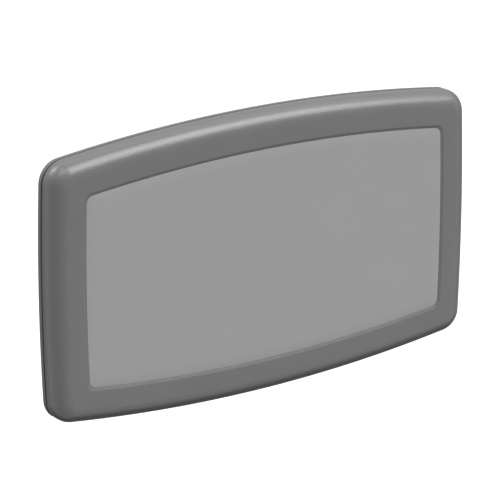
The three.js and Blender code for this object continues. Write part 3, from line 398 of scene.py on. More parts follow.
def grain_group():
    """Height of the pebble of a textured mould, from two sizes of cells, and a slow mottle from 0 to 1."""
    tree = bpy.data.node_groups.new("mould_grain", "ShaderNodeTree")
    for name, way in (("Pebbles per metre", "INPUT"), ("Height", "OUTPUT"), ("Mottle", "OUTPUT")):
        tree.interface.new_socket(name=name, in_out=way, socket_type="NodeSocketFloat")
    pebbles = tree.nodes.new("NodeGroupInput").outputs[0]
    spot = wired(tree, "TexCoord").outputs["Object"]
    cells = wired(tree, "TexVoronoi", {"Vector": spot, "Scale": pebbles}, feature="SMOOTH_F1")
    speckle = noise(tree, worked(tree, "MULTIPLY", pebbles, 1.7), 3)
    height = worked(tree, "ADD", cells.outputs["Distance"], speckle)
    fed(tree, tree.nodes.new("NodeGroupOutput"), {"Height": height, "Mottle": noise(tree, 9, 5, 0.6)})
    return tree


mould_grain = grain_group()
TOPS_GLOSS = 0.012


def moulded(name, level, roughness, pebbles, depth, gloss=0.5, mottle=3):
    """Textured moulded plastic: pebbles with glossier tops, a slow mottle of colour, duller seen aslant."""
    material, tree = finish(name)
    grain = wired(tree, "Group", {"Pebbles per metre": pebbles}, node_tree=mould_grain)
    height = grain.outputs["Height"]
    tops = spread(tree, height, roughness + TOPS_GLOSS, roughness - TOPS_GLOSS, start=0.6, end=1.1)
    facing = wired(tree, "LayerWeight").outputs["Facing"]
    aslant = spread(tree, facing, low=0.2, high=0.95, start=0.26, end=0.52)
    patches = spread(tree, grain.outputs["Mottle"])
    return coat(material, {
        "Base Color": tint(tree, patches, level - mottle, level + mottle),
        "Roughness": worked(tree, "MAXIMUM", tops, aslant),
        "Specular IOR Level": gloss,
        "Normal": relief(tree, height, depth),
    })


bodies = frame["record"]["behaviour"]["bodies"]


def place(name, mesh, material, *nodes):
    """Adds a finished mesh as a piece that stands for its nodes and rides on the body of the first."""
    piece = added(name, mesh)
    mesh.materials.clear()
    mesh.materials.append(material)
    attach(piece, next(body for body, members in bodies.items() if nodes[0] in members))
    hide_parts(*nodes)
    return piece


shell_grey = moulded("dark_grey_moulding", 102, roughness=0.29, pebbles=400, depth=0.00025, mottle=1.5)
place("rear_housing_tray", housing_mesh, shell_grey, "rear_housing")


# Wall straps and bolts
# Two zinc plated flat bars spread the load over the pan's back, each held by two hexagon bolts with washers
# that go through it into the wall's studs.
def plated(name):
    """Zinc plate: a pale metal whose gloss clouds over in patches, with the fine lines of rolled bar."""
    material, tree = finish(name)
    clouds = noise(tree, 60, 4)
    lines = noise(tree, 1, stretch=(40, 900, 900))
    return coat(material, {
        "Metallic": 1.0,
        "Base Color": tint(tree, spread(tree, clouds), (142, 144, 147), (168, 169, 169)),
        "Roughness": spread(tree, clouds, 0.30, 0.48),
        "Normal": relief(tree, lines, 0.00002),
    })


def block(node, corner, ease):
    """A slab that fills a node's box."""
    low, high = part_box(node)
    return slab(low.x, high.x, low.y, high.y, low.z, high.z, corner, ease)


zinc = plated("zinc_plate")
for node in ("upper_wall_strap", "lower_wall_strap"):
    place(f"{node}_bar", block(node, corner=0.004, ease=0.0005), zinc, node)

BOLT_HEAD = 0.0055
BOLT_POINTS = 0.0075
BOLT_FACE = 0.0052
BOLT_CONE = 0.0011
BOLT_SHANK = 0.004
BOLT_SIDES = 72
WASHER = 0.0016


def hexagon(radius, angle):
    """Radius of a hexagon, by angle, from the radius of its points."""
    return radius * math.cos(math.pi / 6) / np.cos((angle + math.pi / 6) % (math.pi / 3) - math.pi / 6)


def hex_bolt(node):
    """A hexagon head chamfered by a cone, the washer under it and the shank, turned about y."""
    low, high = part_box(node)
    centre = middle(node)
    edge = high.x - centre.x
    flats = hexagon(BOLT_POINTS, full_turn(BOLT_SIDES))
    seat = low.y + BOLT_HEAD
    under = seat + WASHER
    cone = [
        (np.minimum(flats, BOLT_POINTS * (0.84 + 0.16 * share)), low.y + BOLT_CONE * share**1.2)
        for share in (0, 0.25, 0.5, 0.75, 1)
    ]
    head = [(0, low.y), (BOLT_FACE, low.y), *cone, (flats, seat), (0, seat)]
    washer = rounded([(0, seat, 0), (edge, seat, 0.0004), (edge, under, 0.0002), (0, under, 0)])
    shank = [(0, seat), (BOLT_SHANK, seat), (BOLT_SHANK, high.y), (0, high.y)]
    return joined(*(spun(part, centre, "y", BOLT_SIDES, crease=25) for part in (head, washer, shank)))


for node in (*bolt_nodes, "rail_bolt_1", "rail_bolt_2"):
    place(f"{node}_hexagon", hex_bolt(node), zinc, node)


# Wall hinge rail
# A steel angle under the pan with four welded ears, powder coated in dark grey and bolted to the wall.
def powder_coated(name, level):
    """Powder coat: dark and even, with the low waves of orange peel and a slightly open gloss."""
    material, tree = finish(name)
    clouds = noise(tree, 35, 5)
    return coat(material, {
        "Base Color": tint(tree, spread(tree, clouds), level - 4, level + 5),
        "Roughness": spread(tree, clouds, 0.36, 0.46),
        "Normal": relief(tree, noise(tree, 700), 0.00012),
    })


def merged(node):
    """A copy of a node's own solid, with its triangles merged and its flats joined."""
    source = frame["nodes"][node].data
    source.calc_loop_triangles()
    points = np.empty(len(source.vertices) * 3, np.float32)
    corners = np.empty(len(source.loop_triangles) * 3, np.int32)
    source.vertices.foreach_get("co", points)
    source.loop_triangles.foreach_get("vertices", corners)
    mesh = bpy.data.meshes.new(node)
    mesh.from_pydata(points.reshape(-1, 3).tolist(), [], corners.reshape(-1, 3).tolist())
    work = bmesh.new()
    work.from_mesh(mesh)
    bmesh.ops.remove_doubles(work, verts=work.verts, dist=1e-6)
    bmesh.ops.dissolve_limit(work, angle_limit=math.radians(1), verts=work.verts, edges=work.edges)
    work.to_mesh(mesh)
    work.free()
    mesh.shade_smooth()
    return mesh


def broken_edges(piece, width, segments=2, angle=40):
    """Rounds a piece's sharp edges by a small bevel that leaves its flats flat."""
    bevel = piece.modifiers.new("broken_edges", "BEVEL")
    bevel.limit_method = "ANGLE"
    bevel.angle_limit = math.radians(angle)
    bevel.width = width
    bevel.segments = segments
    bevel.harden_normals = True


def deburred(name, node, material, width):
    """Places a node's own solid with its edges broken."""
    broken_edges(place(name, merged(node), material, node), width)


dark_coat = powder_coated("dark_powder_coat", 58)
deburred("wall_hinge_rail_angle", "wall_hinge_rail", dark_coat, 0.0006)


# Hinge shaft and clips
# A ground and chromed steel shaft runs through all eight ears, and a spring clip at each end keeps it there.
def polished(name, level, roughness):
    """Bright turned metal: mirror grey with the faint bands that grinding leaves along a bar."""
    material, tree = finish(name)
    bands = noise(tree, 1, 3, stretch=(1400, 260, 260))
    return coat(material, {
        "Metallic": 1.0,
        "Base Color": linear(level),
        "Roughness": spread(tree, bands, roughness * 0.7, roughness * 1.5),
        "Normal": relief(tree, bands, 0.000006),
    })


def bar_profile(radius, start, end, chamfer):
    """Profile of a round bar with both its ends chamfered."""
    return [
        (0, start), (radius - chamfer, start), (radius, start + chamfer),
        (radius, end - chamfer), (radius - chamfer, end), (0, end),
    ]


def hoop(bore, radius, start, end, ease, centre):
    """A ring about the x axis through a point, with its edges eased."""
    corners = [(bore, start), (radius, start), (radius, end), (bore, end)]
    return spun(rounded([(*corner, ease) for corner in corners], closed=True), centre, "x", 48, closed=True)


bright = polished("bright_steel", (206, 208, 210), 0.14)
shaft_low, shaft_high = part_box("hinge_shaft")
shaft = middle("hinge_shaft")
SHAFT_RADIUS = shaft_high.y - shaft.y
shaft_profile = bar_profile(SHAFT_RADIUS, shaft_low.x, shaft_high.x, chamfer=0.0008)
place("hinge_shaft_bar", spun(shaft_profile, shaft, "x", 48, crease=30), bright, "hinge_shaft")
for node in ("shaft_clip_left", "shaft_clip_right"):
    low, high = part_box(node)
    clip = hoop(SHAFT_RADIUS + 0.0002, (high.y - low.y) / 2, low.x, high.x, 0.0003, shaft)
    place(f"{node}_ring", clip, zinc, node)


# Rubber stops and bumpers
# Two blocks under the wall rail stop the bed when it is down, and four round feet on the rim's floor
# keep it quiet when it shuts. They are moulded black rubber, pushed into place.
def rubbery(name, level):
    """Matt black rubber with a dusty bloom and the dull grain of its mould."""
    material, tree = finish(name)
    bloom = noise(tree, 180, 6)
    return coat(material, {
        "Base Color": tint(tree, spread(tree, bloom), level - 5, level + 8),
        "Roughness": spread(tree, bloom, 0.72, 0.88),
        "Specular IOR Level": 0.3,
        "Normal": relief(tree, bloom, 0.00008),
    })


black_rubber = rubbery("black_rubber", 38)
for node in ("stop_pad_left", "stop_pad_right"):
    place(f"{node}_block", block(node, corner=0.0025, ease=0.0015), black_rubber, node)

FOOT_NECK = 0.0015
FOOT_CROWN = 0.0022
FOOT_FLARE = 0.003
for i in range(1, 5):
    node = f"rim_bumper_{i}"
    low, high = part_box(node)
    centre = middle(node)
    radius = high.x - centre.x
    foot = rounded([
        (0, low.y, 0), (radius * 0.42, low.y, 0.0008), (radius * 0.78, low.y + FOOT_CROWN, 0.002),
        (radius * 0.9, high.y - FOOT_FLARE, 0.0008), (radius, high.y - FOOT_NECK, 0.0005),
        (radius, high.y, 0), (0, high.y, 0),
    ])
    place(f"{node}_foot", spun(foot, centre, "y"), black_rubber, node)


# Gas spring bracket and top pin
# A zinc plated bracket with two ears is riveted to the pan's back, and a headed pin hangs the spring in it.
deburred("gas_spring_bracket_ears", "gas_spring_bracket", zinc, 0.0005)
PIN_HEAD = 0.0027
PIN_CHAMFER = 0.0008
pin_low, pin_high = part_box("gas_spring_top_pin")
hang = middle("gas_spring_top_pin")
pin_head_radius = pin_high.y - hang.y
pin_radius = pin_head_radius * 2 / 3
head_start = pin_high.x - PIN_HEAD
pin_profile = rounded([
    (0, pin_low.x, 0), (pin_radius - PIN_CHAMFER, pin_low.x, 0), (pin_radius, pin_low.x + PIN_CHAMFER, 0),
    (pin_radius, head_start, 0), (pin_head_radius, head_start, 0), (pin_head_radius, pin_high.x, 0.0012),
    (0, pin_high.x, 0),
])
pin_mesh = spun(pin_profile, hang, "x", crease=30)
place("gas_spring_top_pin_turned", pin_mesh, bright, "gas_spring_top_pin")


# Gas spring
# A bought-in strut: a black painted barrel with a welded eye at its top and a rolled groove at its mouth,
# and a chromed rod with an eye on the crank's pin. It hangs from the top pin in a straight line to the crank.
EYE_THICK = 0.008
EYE_WALL = 0.0036
EYE_EASE = 0.0008
BARREL_NECK = 0.008
BARREL_LENGTH = 0.120
BARREL_RADIUS = 0.009
GROOVE_RISE = 0.010
GROOVE_HALF = 0.0025
GROOVE_DEPTH = 0.0012
GROOVE_EASE = 0.0008
ROD_RADIUS = 0.004
ROD_LENGTH = 0.150
ROD_BORE = ROD_RADIUS + 0.00025
ROD_DEPTH = 0.108
CRANK_PIN_RADIUS = 0.0035
CRANK_PLAY = 0.004
ORIGIN = (0, 0, 0)
SPRING_X = middle("gas_spring_rod").x
crank = middle("crank_pin")
spring_run = Vector((0, crank.y - hang.y, crank.z - hang.z))
SPRING_LENGTH = spring_run.length


def hung(mesh):
    """Moves a mesh that hangs down from the origin onto the line from the top pin to the crank's pin."""
    points = np.empty(len(mesh.vertices) * 3)
    mesh.vertices.foreach_get("co", points)
    x, y, z = points.reshape(-1, 3).T
    back, down = np.array(spring_run)[1:] / SPRING_LENGTH
    moved = np.stack([SPRING_X + x, hang.y - z * back - y * down, hang.z - z * down + y * back], 1)
    mesh.vertices.foreach_set("co", moved.ravel())
    return mesh


def eye(bore, z):
    """One of the strut's eyes, at a height."""
    return hoop(bore, bore + EYE_WALL, -EYE_THICK / 2, EYE_THICK / 2, EYE_EASE, (0, 0, z))


EYE_BORE = pin_radius + 0.00025
barrel_top = -(EYE_BORE + EYE_WALL) - BARREL_NECK
barrel_end = barrel_top - BARREL_LENGTH
groove = barrel_end + GROOVE_RISE
rod_stop = barrel_end + ROD_DEPTH
barrel_profile = rounded([
    (0, barrel_top, 0), (BARREL_RADIUS, barrel_top, 0.004),
    (BARREL_RADIUS, groove + GROOVE_HALF, GROOVE_EASE), (BARREL_RADIUS - GROOVE_DEPTH, groove, GROOVE_EASE),
    (BARREL_RADIUS, groove - GROOVE_HALF, GROOVE_EASE), (BARREL_RADIUS, barrel_end, 0.0025),
    (ROD_BORE, barrel_end, 0.0005), (ROD_BORE, rod_stop, 0), (0, rod_stop, 0),
])
neck_profile = bar_profile(EYE_THICK / 2, barrel_top - 0.004, -EYE_BORE - EYE_WALL / 2, chamfer=0.0005)
strut = joined(eye(EYE_BORE, 0), spun(neck_profile, ORIGIN, "z"), spun(barrel_profile, ORIGIN, "z", 56))
place("gas_spring_barrel", hung(strut), dark_coat, "gas_spring_cylinder")

ROD_EYE_BORE = CRANK_PIN_RADIUS + CRANK_PLAY
rod_end = ROD_EYE_BORE + EYE_WALL / 2 - SPRING_LENGTH
rod_profile = bar_profile(ROD_RADIUS, rod_end, rod_end + ROD_LENGTH, chamfer=0.0006)
rod_mesh = joined(eye(ROD_EYE_BORE, -SPRING_LENGTH), spun(rod_profile, ORIGIN, "z", 48, crease=30))
place("gas_spring_rod_and_eye", hung(rod_mesh), bright, "gas_spring_rod")


# Gas spring cover
# A mid grey moulded hood over the upper half of the strut, open towards the wall and below, glued to the pan.
COVER_WALL = 0.0025
COVER_CORNER = 0.008
COVER_EASE = 0.006
BEYOND = 0.02
inner_grey = moulded("mid_grey_moulding", 124, roughness=0.5, pebbles=1100, depth=0.00008)
low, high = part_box("gas_spring_cover")
left, right = low.x - BEYOND, high.x + BEYOND
below, behind = low.z - 0.1, high.y + 0.05
hood = slab(
    low.x, high.x, low.y, high.y + BEYOND, low.z - BEYOND, high.z, COVER_CORNER, COVER_EASE, steps=6,
)
hollow = slab(
    low.x + COVER_WALL, high.x - COVER_WALL, low.y + COVER_WALL, high.y + 2 * BEYOND,
    low.z - 2 * BEYOND, high.z - COVER_WALL, COVER_CORNER - COVER_WALL, COVER_EASE - COVER_WALL, steps=6,
)
open_back = slab(left, right, high.y, behind, below, high.z + 0.05, corner=0.001, ease=0.0001, steps=1)
open_foot = slab(left, right, low.y - BEYOND, behind, below, low.z, corner=0.001, ease=0.0001, steps=1)
place("gas_spring_hood", cut(hood, hollow, open_back, open_foot), inner_grey, "gas_spring_cover")


# Liner dispenser
# A mid grey moulded box for paper liners, screwed to the pan's back through two tabs. A beaded slot in its
# front gives the liners, and its refill lid turns on a long pin and shuts with a small cam lock.
BOX_WALL = 0.003
BOX_TOP_LIP = 0.004
TAB = 0.022
TAB_LAP = 0.004
PULL_HALF = 0.100
PULL_HEIGHT = 0.034
PULL_ABOVE = 0.024
PULL_CORNER = PULL_HEIGHT / 2 - 1e-5
BEAD = 0.0013
low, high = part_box("dispenser_box")
lid_low, lid_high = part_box("dispenser_lid")
box_half = high.x - TAB
inside_half = box_half - BOX_WALL
store_top = high.z - BOX_WALL
pull_low = low.z + PULL_ABOVE
pull_high = pull_low + PULL_HEIGHT
carcass = slab(-box_half, box_half, low.y, high.y, low.z, high.z, corner=0.005, ease=0.002)
store = slab(
    -inside_half, inside_half, low.y + BOX_WALL, high.y - BOX_WALL, low.z + BOX_WALL, store_top,
    corner=0.003, ease=0.001,
)
lid_opening = slab(
    -inside_half, inside_half, low.y - 0.01, low.y + 0.006, lid_low.z - 0.0005, store_top - BOX_TOP_LIP,
    corner=0.0005, ease=0.0001, steps=1,
)
pull_opening = slab(
    -PULL_HALF, PULL_HALF, low.y - 0.01, low.y + 0.01, pull_low, pull_high,
    PULL_CORNER, ease=0.0001, steps=1,
)
bead_turn = full_turn(12)
bead = skin([
    plate_ring(-PULL_HALF - out, PULL_HALF + out, pull_low - out, pull_high + out, PULL_CORNER + out, y, 16)
    for out, y in zip(BEAD * np.cos(bead_turn), low.y + BEAD * np.sin(bead_turn))
], closed=True)
tab_z = (low.z + high.z) / 2
tabs = [
    slab(x, x + TAB + TAB_LAP, high.y - BOX_WALL, high.y, tab_z - TAB / 2, tab_z + TAB / 2, 0.004, 0.0006)
    for x in (low.x, box_half - TAB_LAP)
]
box_mesh = joined(cut(carcass, store, lid_opening, pull_opening), bead, *tabs)
place("dispenser_carcass", box_mesh, inner_grey, "dispenser_box")

LID_BARREL = 0.0024
LEDGE_HALF = 0.030
LEDGE_DROP = 0.0045
LEDGE_HEIGHT = 0.003
lid_axis = middle("lid_hinge_pin")
lid_front = lid_axis.y - BOX_WALL / 2
ledge_z = lid_high.z - LEDGE_DROP
lid_plate = slab(
    lid_low.x, lid_high.x, lid_front, lid_front + BOX_WALL, lid_axis.z, lid_high.z,
    corner=0.002, ease=0.0008,
)
ledge = slab(
    -LEDGE_HALF, LEDGE_HALF, lid_front - 0.002, lid_front + 0.001, ledge_z, ledge_z + LEDGE_HEIGHT,
    corner=0.0014, ease=0.0008,
)
lid_barrel = spun(bar_profile(LID_BARREL, lid_low.x, lid_high.x, chamfer=0.0003), lid_axis, "x", 24)
place("dispenser_refill_lid", joined(lid_plate, ledge, lid_barrel), inner_grey, "dispenser_lid")

pin_low, pin_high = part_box("lid_hinge_pin")
lid_pin = bar_profile((pin_high.y - pin_low.y) / 2, pin_low.x, pin_high.x, chamfer=0.0003)
place("dispenser_lid_pin", spun(lid_pin, lid_axis, "x", 24), zinc, "lid_hinge_pin")

LOCK_RIM = 0.002
LOCK_RADIUS = 0.008
LOCK_DISH = 0.0006
KEY_HALF = 0.004
KEY_SLIT = 0.0008
CAM_THICK = 0.002
CAM_HALF = 0.005
lock_low, lock_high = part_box("dispenser_lock")
lock_z = middle("dispenser_lock").z
lock_front = lock_low.y
lock_edge = (lock_high.z - lock_low.z) / 2
lock_profile = rounded([
    (0, lock_front + LOCK_DISH, 0), (LOCK_RADIUS * 0.8, lock_front + LOCK_DISH, 0.0003),
    (LOCK_RADIUS * 0.9, lock_front, 0.0003), (lock_edge, lock_front, 0.001),
    (lock_edge, lock_front + LOCK_RIM, 0), (LOCK_RADIUS, lock_front + LOCK_RIM, 0),
    (LOCK_RADIUS, lock_high.y, 0), (0, lock_high.y, 0),
])
key_slot = slab(
    -KEY_HALF, KEY_HALF, lock_front - 0.002, lock_front + 0.003, lock_z - KEY_SLIT, lock_z + KEY_SLIT,
    corner=0.0006, ease=0.0001, steps=1,
)
lock_body = cut(spun(lock_profile, (0, 0, lock_z), "y", 64), key_slot, crease=30)
cam = slab(
    -CAM_HALF, lock_high.x, lock_high.y - CAM_THICK, lock_high.y, lock_z - CAM_HALF, lock_z + CAM_HALF,
    corner=0.0045, ease=0.0003,
)
place("dispenser_cam_lock", joined(lock_body, cam), bright, "dispenser_lock")

SCREW_HEAD = 0.0024
SCREW_RADIUS = 0.0045
SCREW_SHANK = 0.002
SCREW_SIDES = 48
RECESS_WAVE = 0.13


def screw_in(faces_wall, *nodes):
    """Places pan heads with a six-lobed recess, its radius waved by angle, and shanks, turned about y."""
    lobes = 1 + RECESS_WAVE * np.cos(6 * full_turn(SCREW_SIDES))
    head = rounded([
        (SCREW_RADIUS, 0, 0), (SCREW_RADIUS, 0.0013, 0.0006), (SCREW_RADIUS * 0.55, SCREW_HEAD, 0.001),
        (SCREW_RADIUS * 0.48, SCREW_HEAD, 0),
    ])
    recess = [(0.0018 * lobes, SCREW_HEAD - 0.0001), (0.0016 * lobes, 0.0011), (0, 0.0010)]
    for node in nodes:
        low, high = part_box(node)
        seat, way, tip = (high.y - SCREW_HEAD, 1, low.y) if faces_wall else (low.y + SCREW_HEAD, -1, high.y)
        profile = [(radius, seat + way * rise) for radius, rise in [(0, 0), *head, *recess]]
        top = spun(profile, middle(node), "y", SCREW_SIDES, crease=35)
        shank = [(0, seat), (SCREW_SHANK, seat), (SCREW_SHANK * 0.8, tip), (0, tip)]
        place(f"{node}_pan_head", joined(top, spun(shank, middle(node), "y", 24)), zinc, node)


screw_in(False, "dispenser_screw_left", "dispenser_screw_right")


# Bag hooks
# Two mid grey moulded hooks on the pan's back: a plate, and an arm that runs out, turns up and ends round.
HOOK_PLATE = 0.003
HOOK_ARM = 0.007
HOOK_ARM_WIDTH = 0.012
HOOK_TURN = 0.007
HOOK_RISE = 0.024
HOOK_TIP = 0.004


def carried(path, across, along, scale=None):
    """A section of (x, height) carried along a path of (y, z), its height along the path's normal."""
    path = np.asarray(path, float)
    scale = np.ones(len(path)) if scale is None else np.asarray(scale)
    slope = np.gradient(path, axis=0)
    slope /= np.linalg.norm(slope, axis=1)[:, None]
    x = np.outer(scale, across)
    rise = np.outer(scale, along)
    y = path[:, 0, None] + rise * slope[:, 1, None]
    z = path[:, 1, None] - rise * slope[:, 0, None]
    return skin(np.stack([x, y, z], -1))


def soft_oblong(width, height, power=5, count=28):
    """Section of a superellipse: a rectangle whose corners are rounded by its power."""
    angle = full_turn(count)
    x, rise = (np.sign(side) * np.abs(side) ** (2 / power) for side in (np.cos(angle), np.sin(angle)))
    return x * width / 2, rise * height / 2


def line(y, z):
    """Points (y, z) of a path, of which one may be a constant."""
    return np.stack(np.broadcast_arrays(y, z), 1)


for node in ("bag_hook_left", "bag_hook_right"):
    low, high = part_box(node)
    centre = middle(node)
    plate_y = high.y - HOOK_PLATE
    arm_y = low.y + HOOK_ARM / 2
    arm_z = centre.z + HOOK_TURN
    tip_z = centre.z + HOOK_RISE
    turn = np.linspace(0, math.pi / 2, 10)
    out = line(np.linspace(plate_y + 0.001, arm_y + HOOK_TURN, 8)[:-1], centre.z)
    elbow = line(arm_y + HOOK_TURN * (1 - np.sin(turn)), centre.z + HOOK_TURN * (1 - np.cos(turn)))
    rise = line(arm_y, arm_z + (tip_z - arm_z) * np.sin(np.linspace(0, math.pi / 2, 14))[1:])
    arm_path = np.concatenate([out, elbow, rise])
    left_over = (tip_z - arm_path[:, 1]) / HOOK_TIP
    taper = np.where(left_over < 1, np.sqrt(np.clip(1 - (1 - left_over) ** 2, 0.02, 1)), 1)
    arm = carried(arm_path, *soft_oblong(HOOK_ARM_WIDTH, HOOK_ARM), taper)
    arm.transform(Matrix.Translation((centre.x, 0, 0)))
    plate = slab(low.x, high.x, plate_y, high.y, low.z, high.z, corner=0.006, ease=0.001)
    place(f"{node}_moulding", joined(arm, plate), inner_grey, node)


# Bed front shell
# The front half of the folding bed, rotational moulded in the same dark grey: a soft quarter round runs
# from the side wall to a flat frame, and a bevelled recess in the frame takes the panel.
FRONT_ROUND = 0.030
FRAME_FLAT = 0.012
EDGE_HEIGHT = 0.004
PANEL_INSET = 0.0653
PANEL_CORNER = 0.014
PANEL_DEPTH = 0.0022
PANEL_THICK = 0.0027
PANEL_BEVEL = 0.0055
PANEL_GAP = 0.0002
RECESS_WALL = 0.002
FRONT_Y = shell_low.y
BED_EDGE_Y = shell_high.y
FRAME_INSIDE_Y = FRONT_Y + SHELL_WALL
PANEL_Y = FRONT_Y + PANEL_DEPTH
PANEL_SEAT_Y = PANEL_Y + PANEL_THICK + PANEL_GAP


def quarter_round(radius, wall_inset, face_y, steps=16):
    """Insets and y of a quarter round from a flat face out to a side wall."""
    angle = np.linspace(0, math.pi / 2, steps + 1)
    return line(wall_inset + radius * (1 - np.sin(angle)), face_y + radius * (1 - np.cos(angle))).tolist()


bevel_inset = PANEL_INSET - PANEL_BEVEL
recess = rounded([
    (PANEL_INSET, PANEL_SEAT_Y, 0), (PANEL_INSET, PANEL_Y + PANEL_GAP, 0),
    (bevel_inset, FRONT_Y, 0.003), (bevel_inset - FRAME_FLAT, FRONT_Y, 0),
])
edge = rounded([
    (0, BED_EDGE_Y - EDGE_HEIGHT, 0), (0, BED_EDGE_Y, EDGE_BREAK), (SHELL_WALL, BED_EDGE_Y, 0.0008),
    (SHELL_WALL, BED_EDGE_Y - EDGE_HEIGHT, 0),
])
inside = quarter_round(FRONT_ROUND - SHELL_WALL, SHELL_WALL, FRAME_INSIDE_Y)[::-1]
recess_back = [
    (bevel_inset - RECESS_WALL, FRAME_INSIDE_Y), (PANEL_INSET - RECESS_WALL, PANEL_Y + RECESS_WALL),
    (PANEL_INSET - RECESS_WALL, PANEL_SEAT_Y + RECESS_WALL),
]
front_rings = [ring(inset, y, PANEL_CORNER) for inset, y in recess]
front_rings += [ring(inset, y) for inset, y in quarter_round(FRONT_ROUND, 0, FRONT_Y) + edge + inside]
front_rings += [ring(inset, y, PANEL_CORNER) for inset, y in recess_back]
place("bed_front_moulding", skin(front_rings), shell_grey, "bed_front_shell")


# Front panel
# A light grey plastic sheet set into the frame's recess, plain and matt, with its edges broken.
PANEL_BREAK = 0.0002
panel_side = PANEL_INSET + 0.0001
panel_flat = PANEL_INSET + 0.02
panel_back = PANEL_Y + PANEL_THICK
panel_edge = rounded([
    (panel_flat, PANEL_Y, 0), (panel_side, PANEL_Y, PANEL_BREAK),
    (panel_side, panel_back, PANEL_BREAK), (panel_flat, panel_back, 0),
])
panel_grey = moulded(
    "light_grey_sheet", 155, roughness=0.55, pebbles=2600, depth=0.00003, gloss=0.4, mottle=1.2,
)
panel_mesh = skin([ring(inset, y, PANEL_CORNER) for inset, y in panel_edge])
place("front_panel_sheet", panel_mesh, panel_grey, "front_panel")


# Bed hinge rail
# A steel rail inside the bed's lower edge, with ears that turn on the shaft and a crank for the gas spring.
# It is powder coated, and four screws hold it to the frame.
deburred("bed_hinge_rail_angle", "bed_hinge_rail", dark_coat, 0.0006)
screw_in(True, *(f"bed_rail_screw_{i}" for i in range(1, 5)))

CRANK_HEAD = 0.0017
crank_low, crank_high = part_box("crank_pin")
crank_edge = (crank_high.y - crank_low.y) / 2
head_start = crank_high.x - CRANK_HEAD
crank_profile = rounded([
    (0, crank_low.x, 0), (CRANK_PIN_RADIUS, crank_low.x, 0.0005), (CRANK_PIN_RADIUS, head_start, 0),
    (crank_edge, head_start, 0.0004), (crank_edge, crank_high.x, 0.0006), (0, crank_high.x, 0),
])
place("crank_pin_turned", spun(crank_profile, crank, "x", 48, crease=30), zinc, "crank_pin")

BUSH_BORE = SHAFT_RADIUS + 0.00025
BUSH_SLEEVE = BUSH_BORE + 0.0016
BUSH_FLANGE = 0.0016
black_nylon = moulded("black_nylon", 40, roughness=0.38, pebbles=2200, depth=0.00004, mottle=4)
for i in range(1, 5):
    node = f"hinge_bush_{i}"
    low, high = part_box(node)
    start, end = (low.x, high.x) if middle(node).x > 0 else (high.x, low.x)
    step = end - math.copysign(BUSH_FLANGE, end)
    flange = (high.y - low.y) / 2
    bush = [(BUSH_BORE, start), (BUSH_SLEEVE, start), (BUSH_SLEEVE, step)]
    bush += [(flange, step), (flange, end), (BUSH_BORE, end)]
    place(f"{node}_sleeve", spun(bush, shaft, "x", 48, closed=True), black_nylon, node)


# Changing surface
# The bed's inner half, a mid grey moulding: a flat flange, a rounded crest and a smooth hollow for the child.
# Its lower edge stops short of the hinge, and six screws along its flange close the bed.
BASIN_WALL = 0.0035
FLANGE_INSET = 0.0045
FLANGE_WIDTH = 0.030
CREST_WIDTH = 0.018
CREST_RISE = 0.0085
SLOPE_WIDTH = 0.098
SKIRT = 0.006
SKIRT_EASE = 0.0005
CHANNEL = 0.058
BASIN_CORNER = 0.045
FLANGE_Y = BED_EDGE_Y - 0.001
BASIN_FLOOR_Y = FLANGE_Y - 0.021
CREST_INSET = FLANGE_INSET + FLANGE_WIDTH + CREST_WIDTH


def basin_y(inset):
    """Height of the surface at an inset: a cosine rise to the crest, then a cosine fall to the floor."""
    rise = np.clip((inset - CREST_INSET + CREST_WIDTH) / CREST_WIDTH, 0, 1)
    fall = np.clip((inset - CREST_INSET) / SLOPE_WIDTH, 0, 1)
    crest = CREST_RISE * (1 - np.cos(math.pi * rise)) / 2
    drop = (FLANGE_Y + CREST_RISE - BASIN_FLOOR_Y) * (1 - np.cos(math.pi * fall)) / 2
    return FLANGE_Y + crest - drop


crest_insets = np.linspace(CREST_INSET - CREST_WIDTH, CREST_INSET, 9)
slope_insets = np.linspace(CREST_INSET, CREST_INSET + SLOPE_WIDTH, 25)[1:]
over = [(inset, basin_y(inset)) for inset in np.concatenate([crest_insets, slope_insets])]
under = [(inset, y - BASIN_WALL) for inset, y in over]
flange_flat = FLANGE_INSET + 0.012
skirt_inside = FLANGE_INSET + BASIN_WALL
skirt_y = FLANGE_Y - SKIRT
skirt = rounded([
    (flange_flat, FLANGE_Y - BASIN_WALL, 0), (skirt_inside, FLANGE_Y - BASIN_WALL, 0.0008),
    (skirt_inside, skirt_y, SKIRT_EASE), (FLANGE_INSET, skirt_y, SKIRT_EASE),
    (FLANGE_INSET, FLANGE_Y, 0.0015), (flange_flat, FLANGE_Y, 0),
])
basin_rings = [ring(inset, y, BASIN_CORNER, CHANNEL) for inset, y in under[::-1] + skirt + over]
place("changing_surface_moulding", skin(basin_rings), inner_grey, "changing_surface")
screw_in(True, *(f"bed_screw_{i}" for i in range(1, 7)))


# Safety strap
# Two lengths of charcoal nylon webbing, one from each slope to the buckle, and the loose tail that is pulled
# to tighten them. Each end is sewn with a box of pale thread.
WEB_WIDTH = 0.038
WEB_THICK = 0.0016
WEB_FLOAT = 0.0007
WARP_PITCH = 0.0016
WEFT_PITCH = 0.0022
ANCHOR_INTO_SLOPE = 0.044
ANCHOR_LENGTH = 0.018
ANCHOR_INSET = CREST_INSET + ANCHOR_INTO_SLOPE
socket_low, socket_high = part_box("buckle_socket")
plug_low, plug_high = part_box("buckle_plug")
BUCKLE_Y = (socket_low.y + socket_high.y) / 2


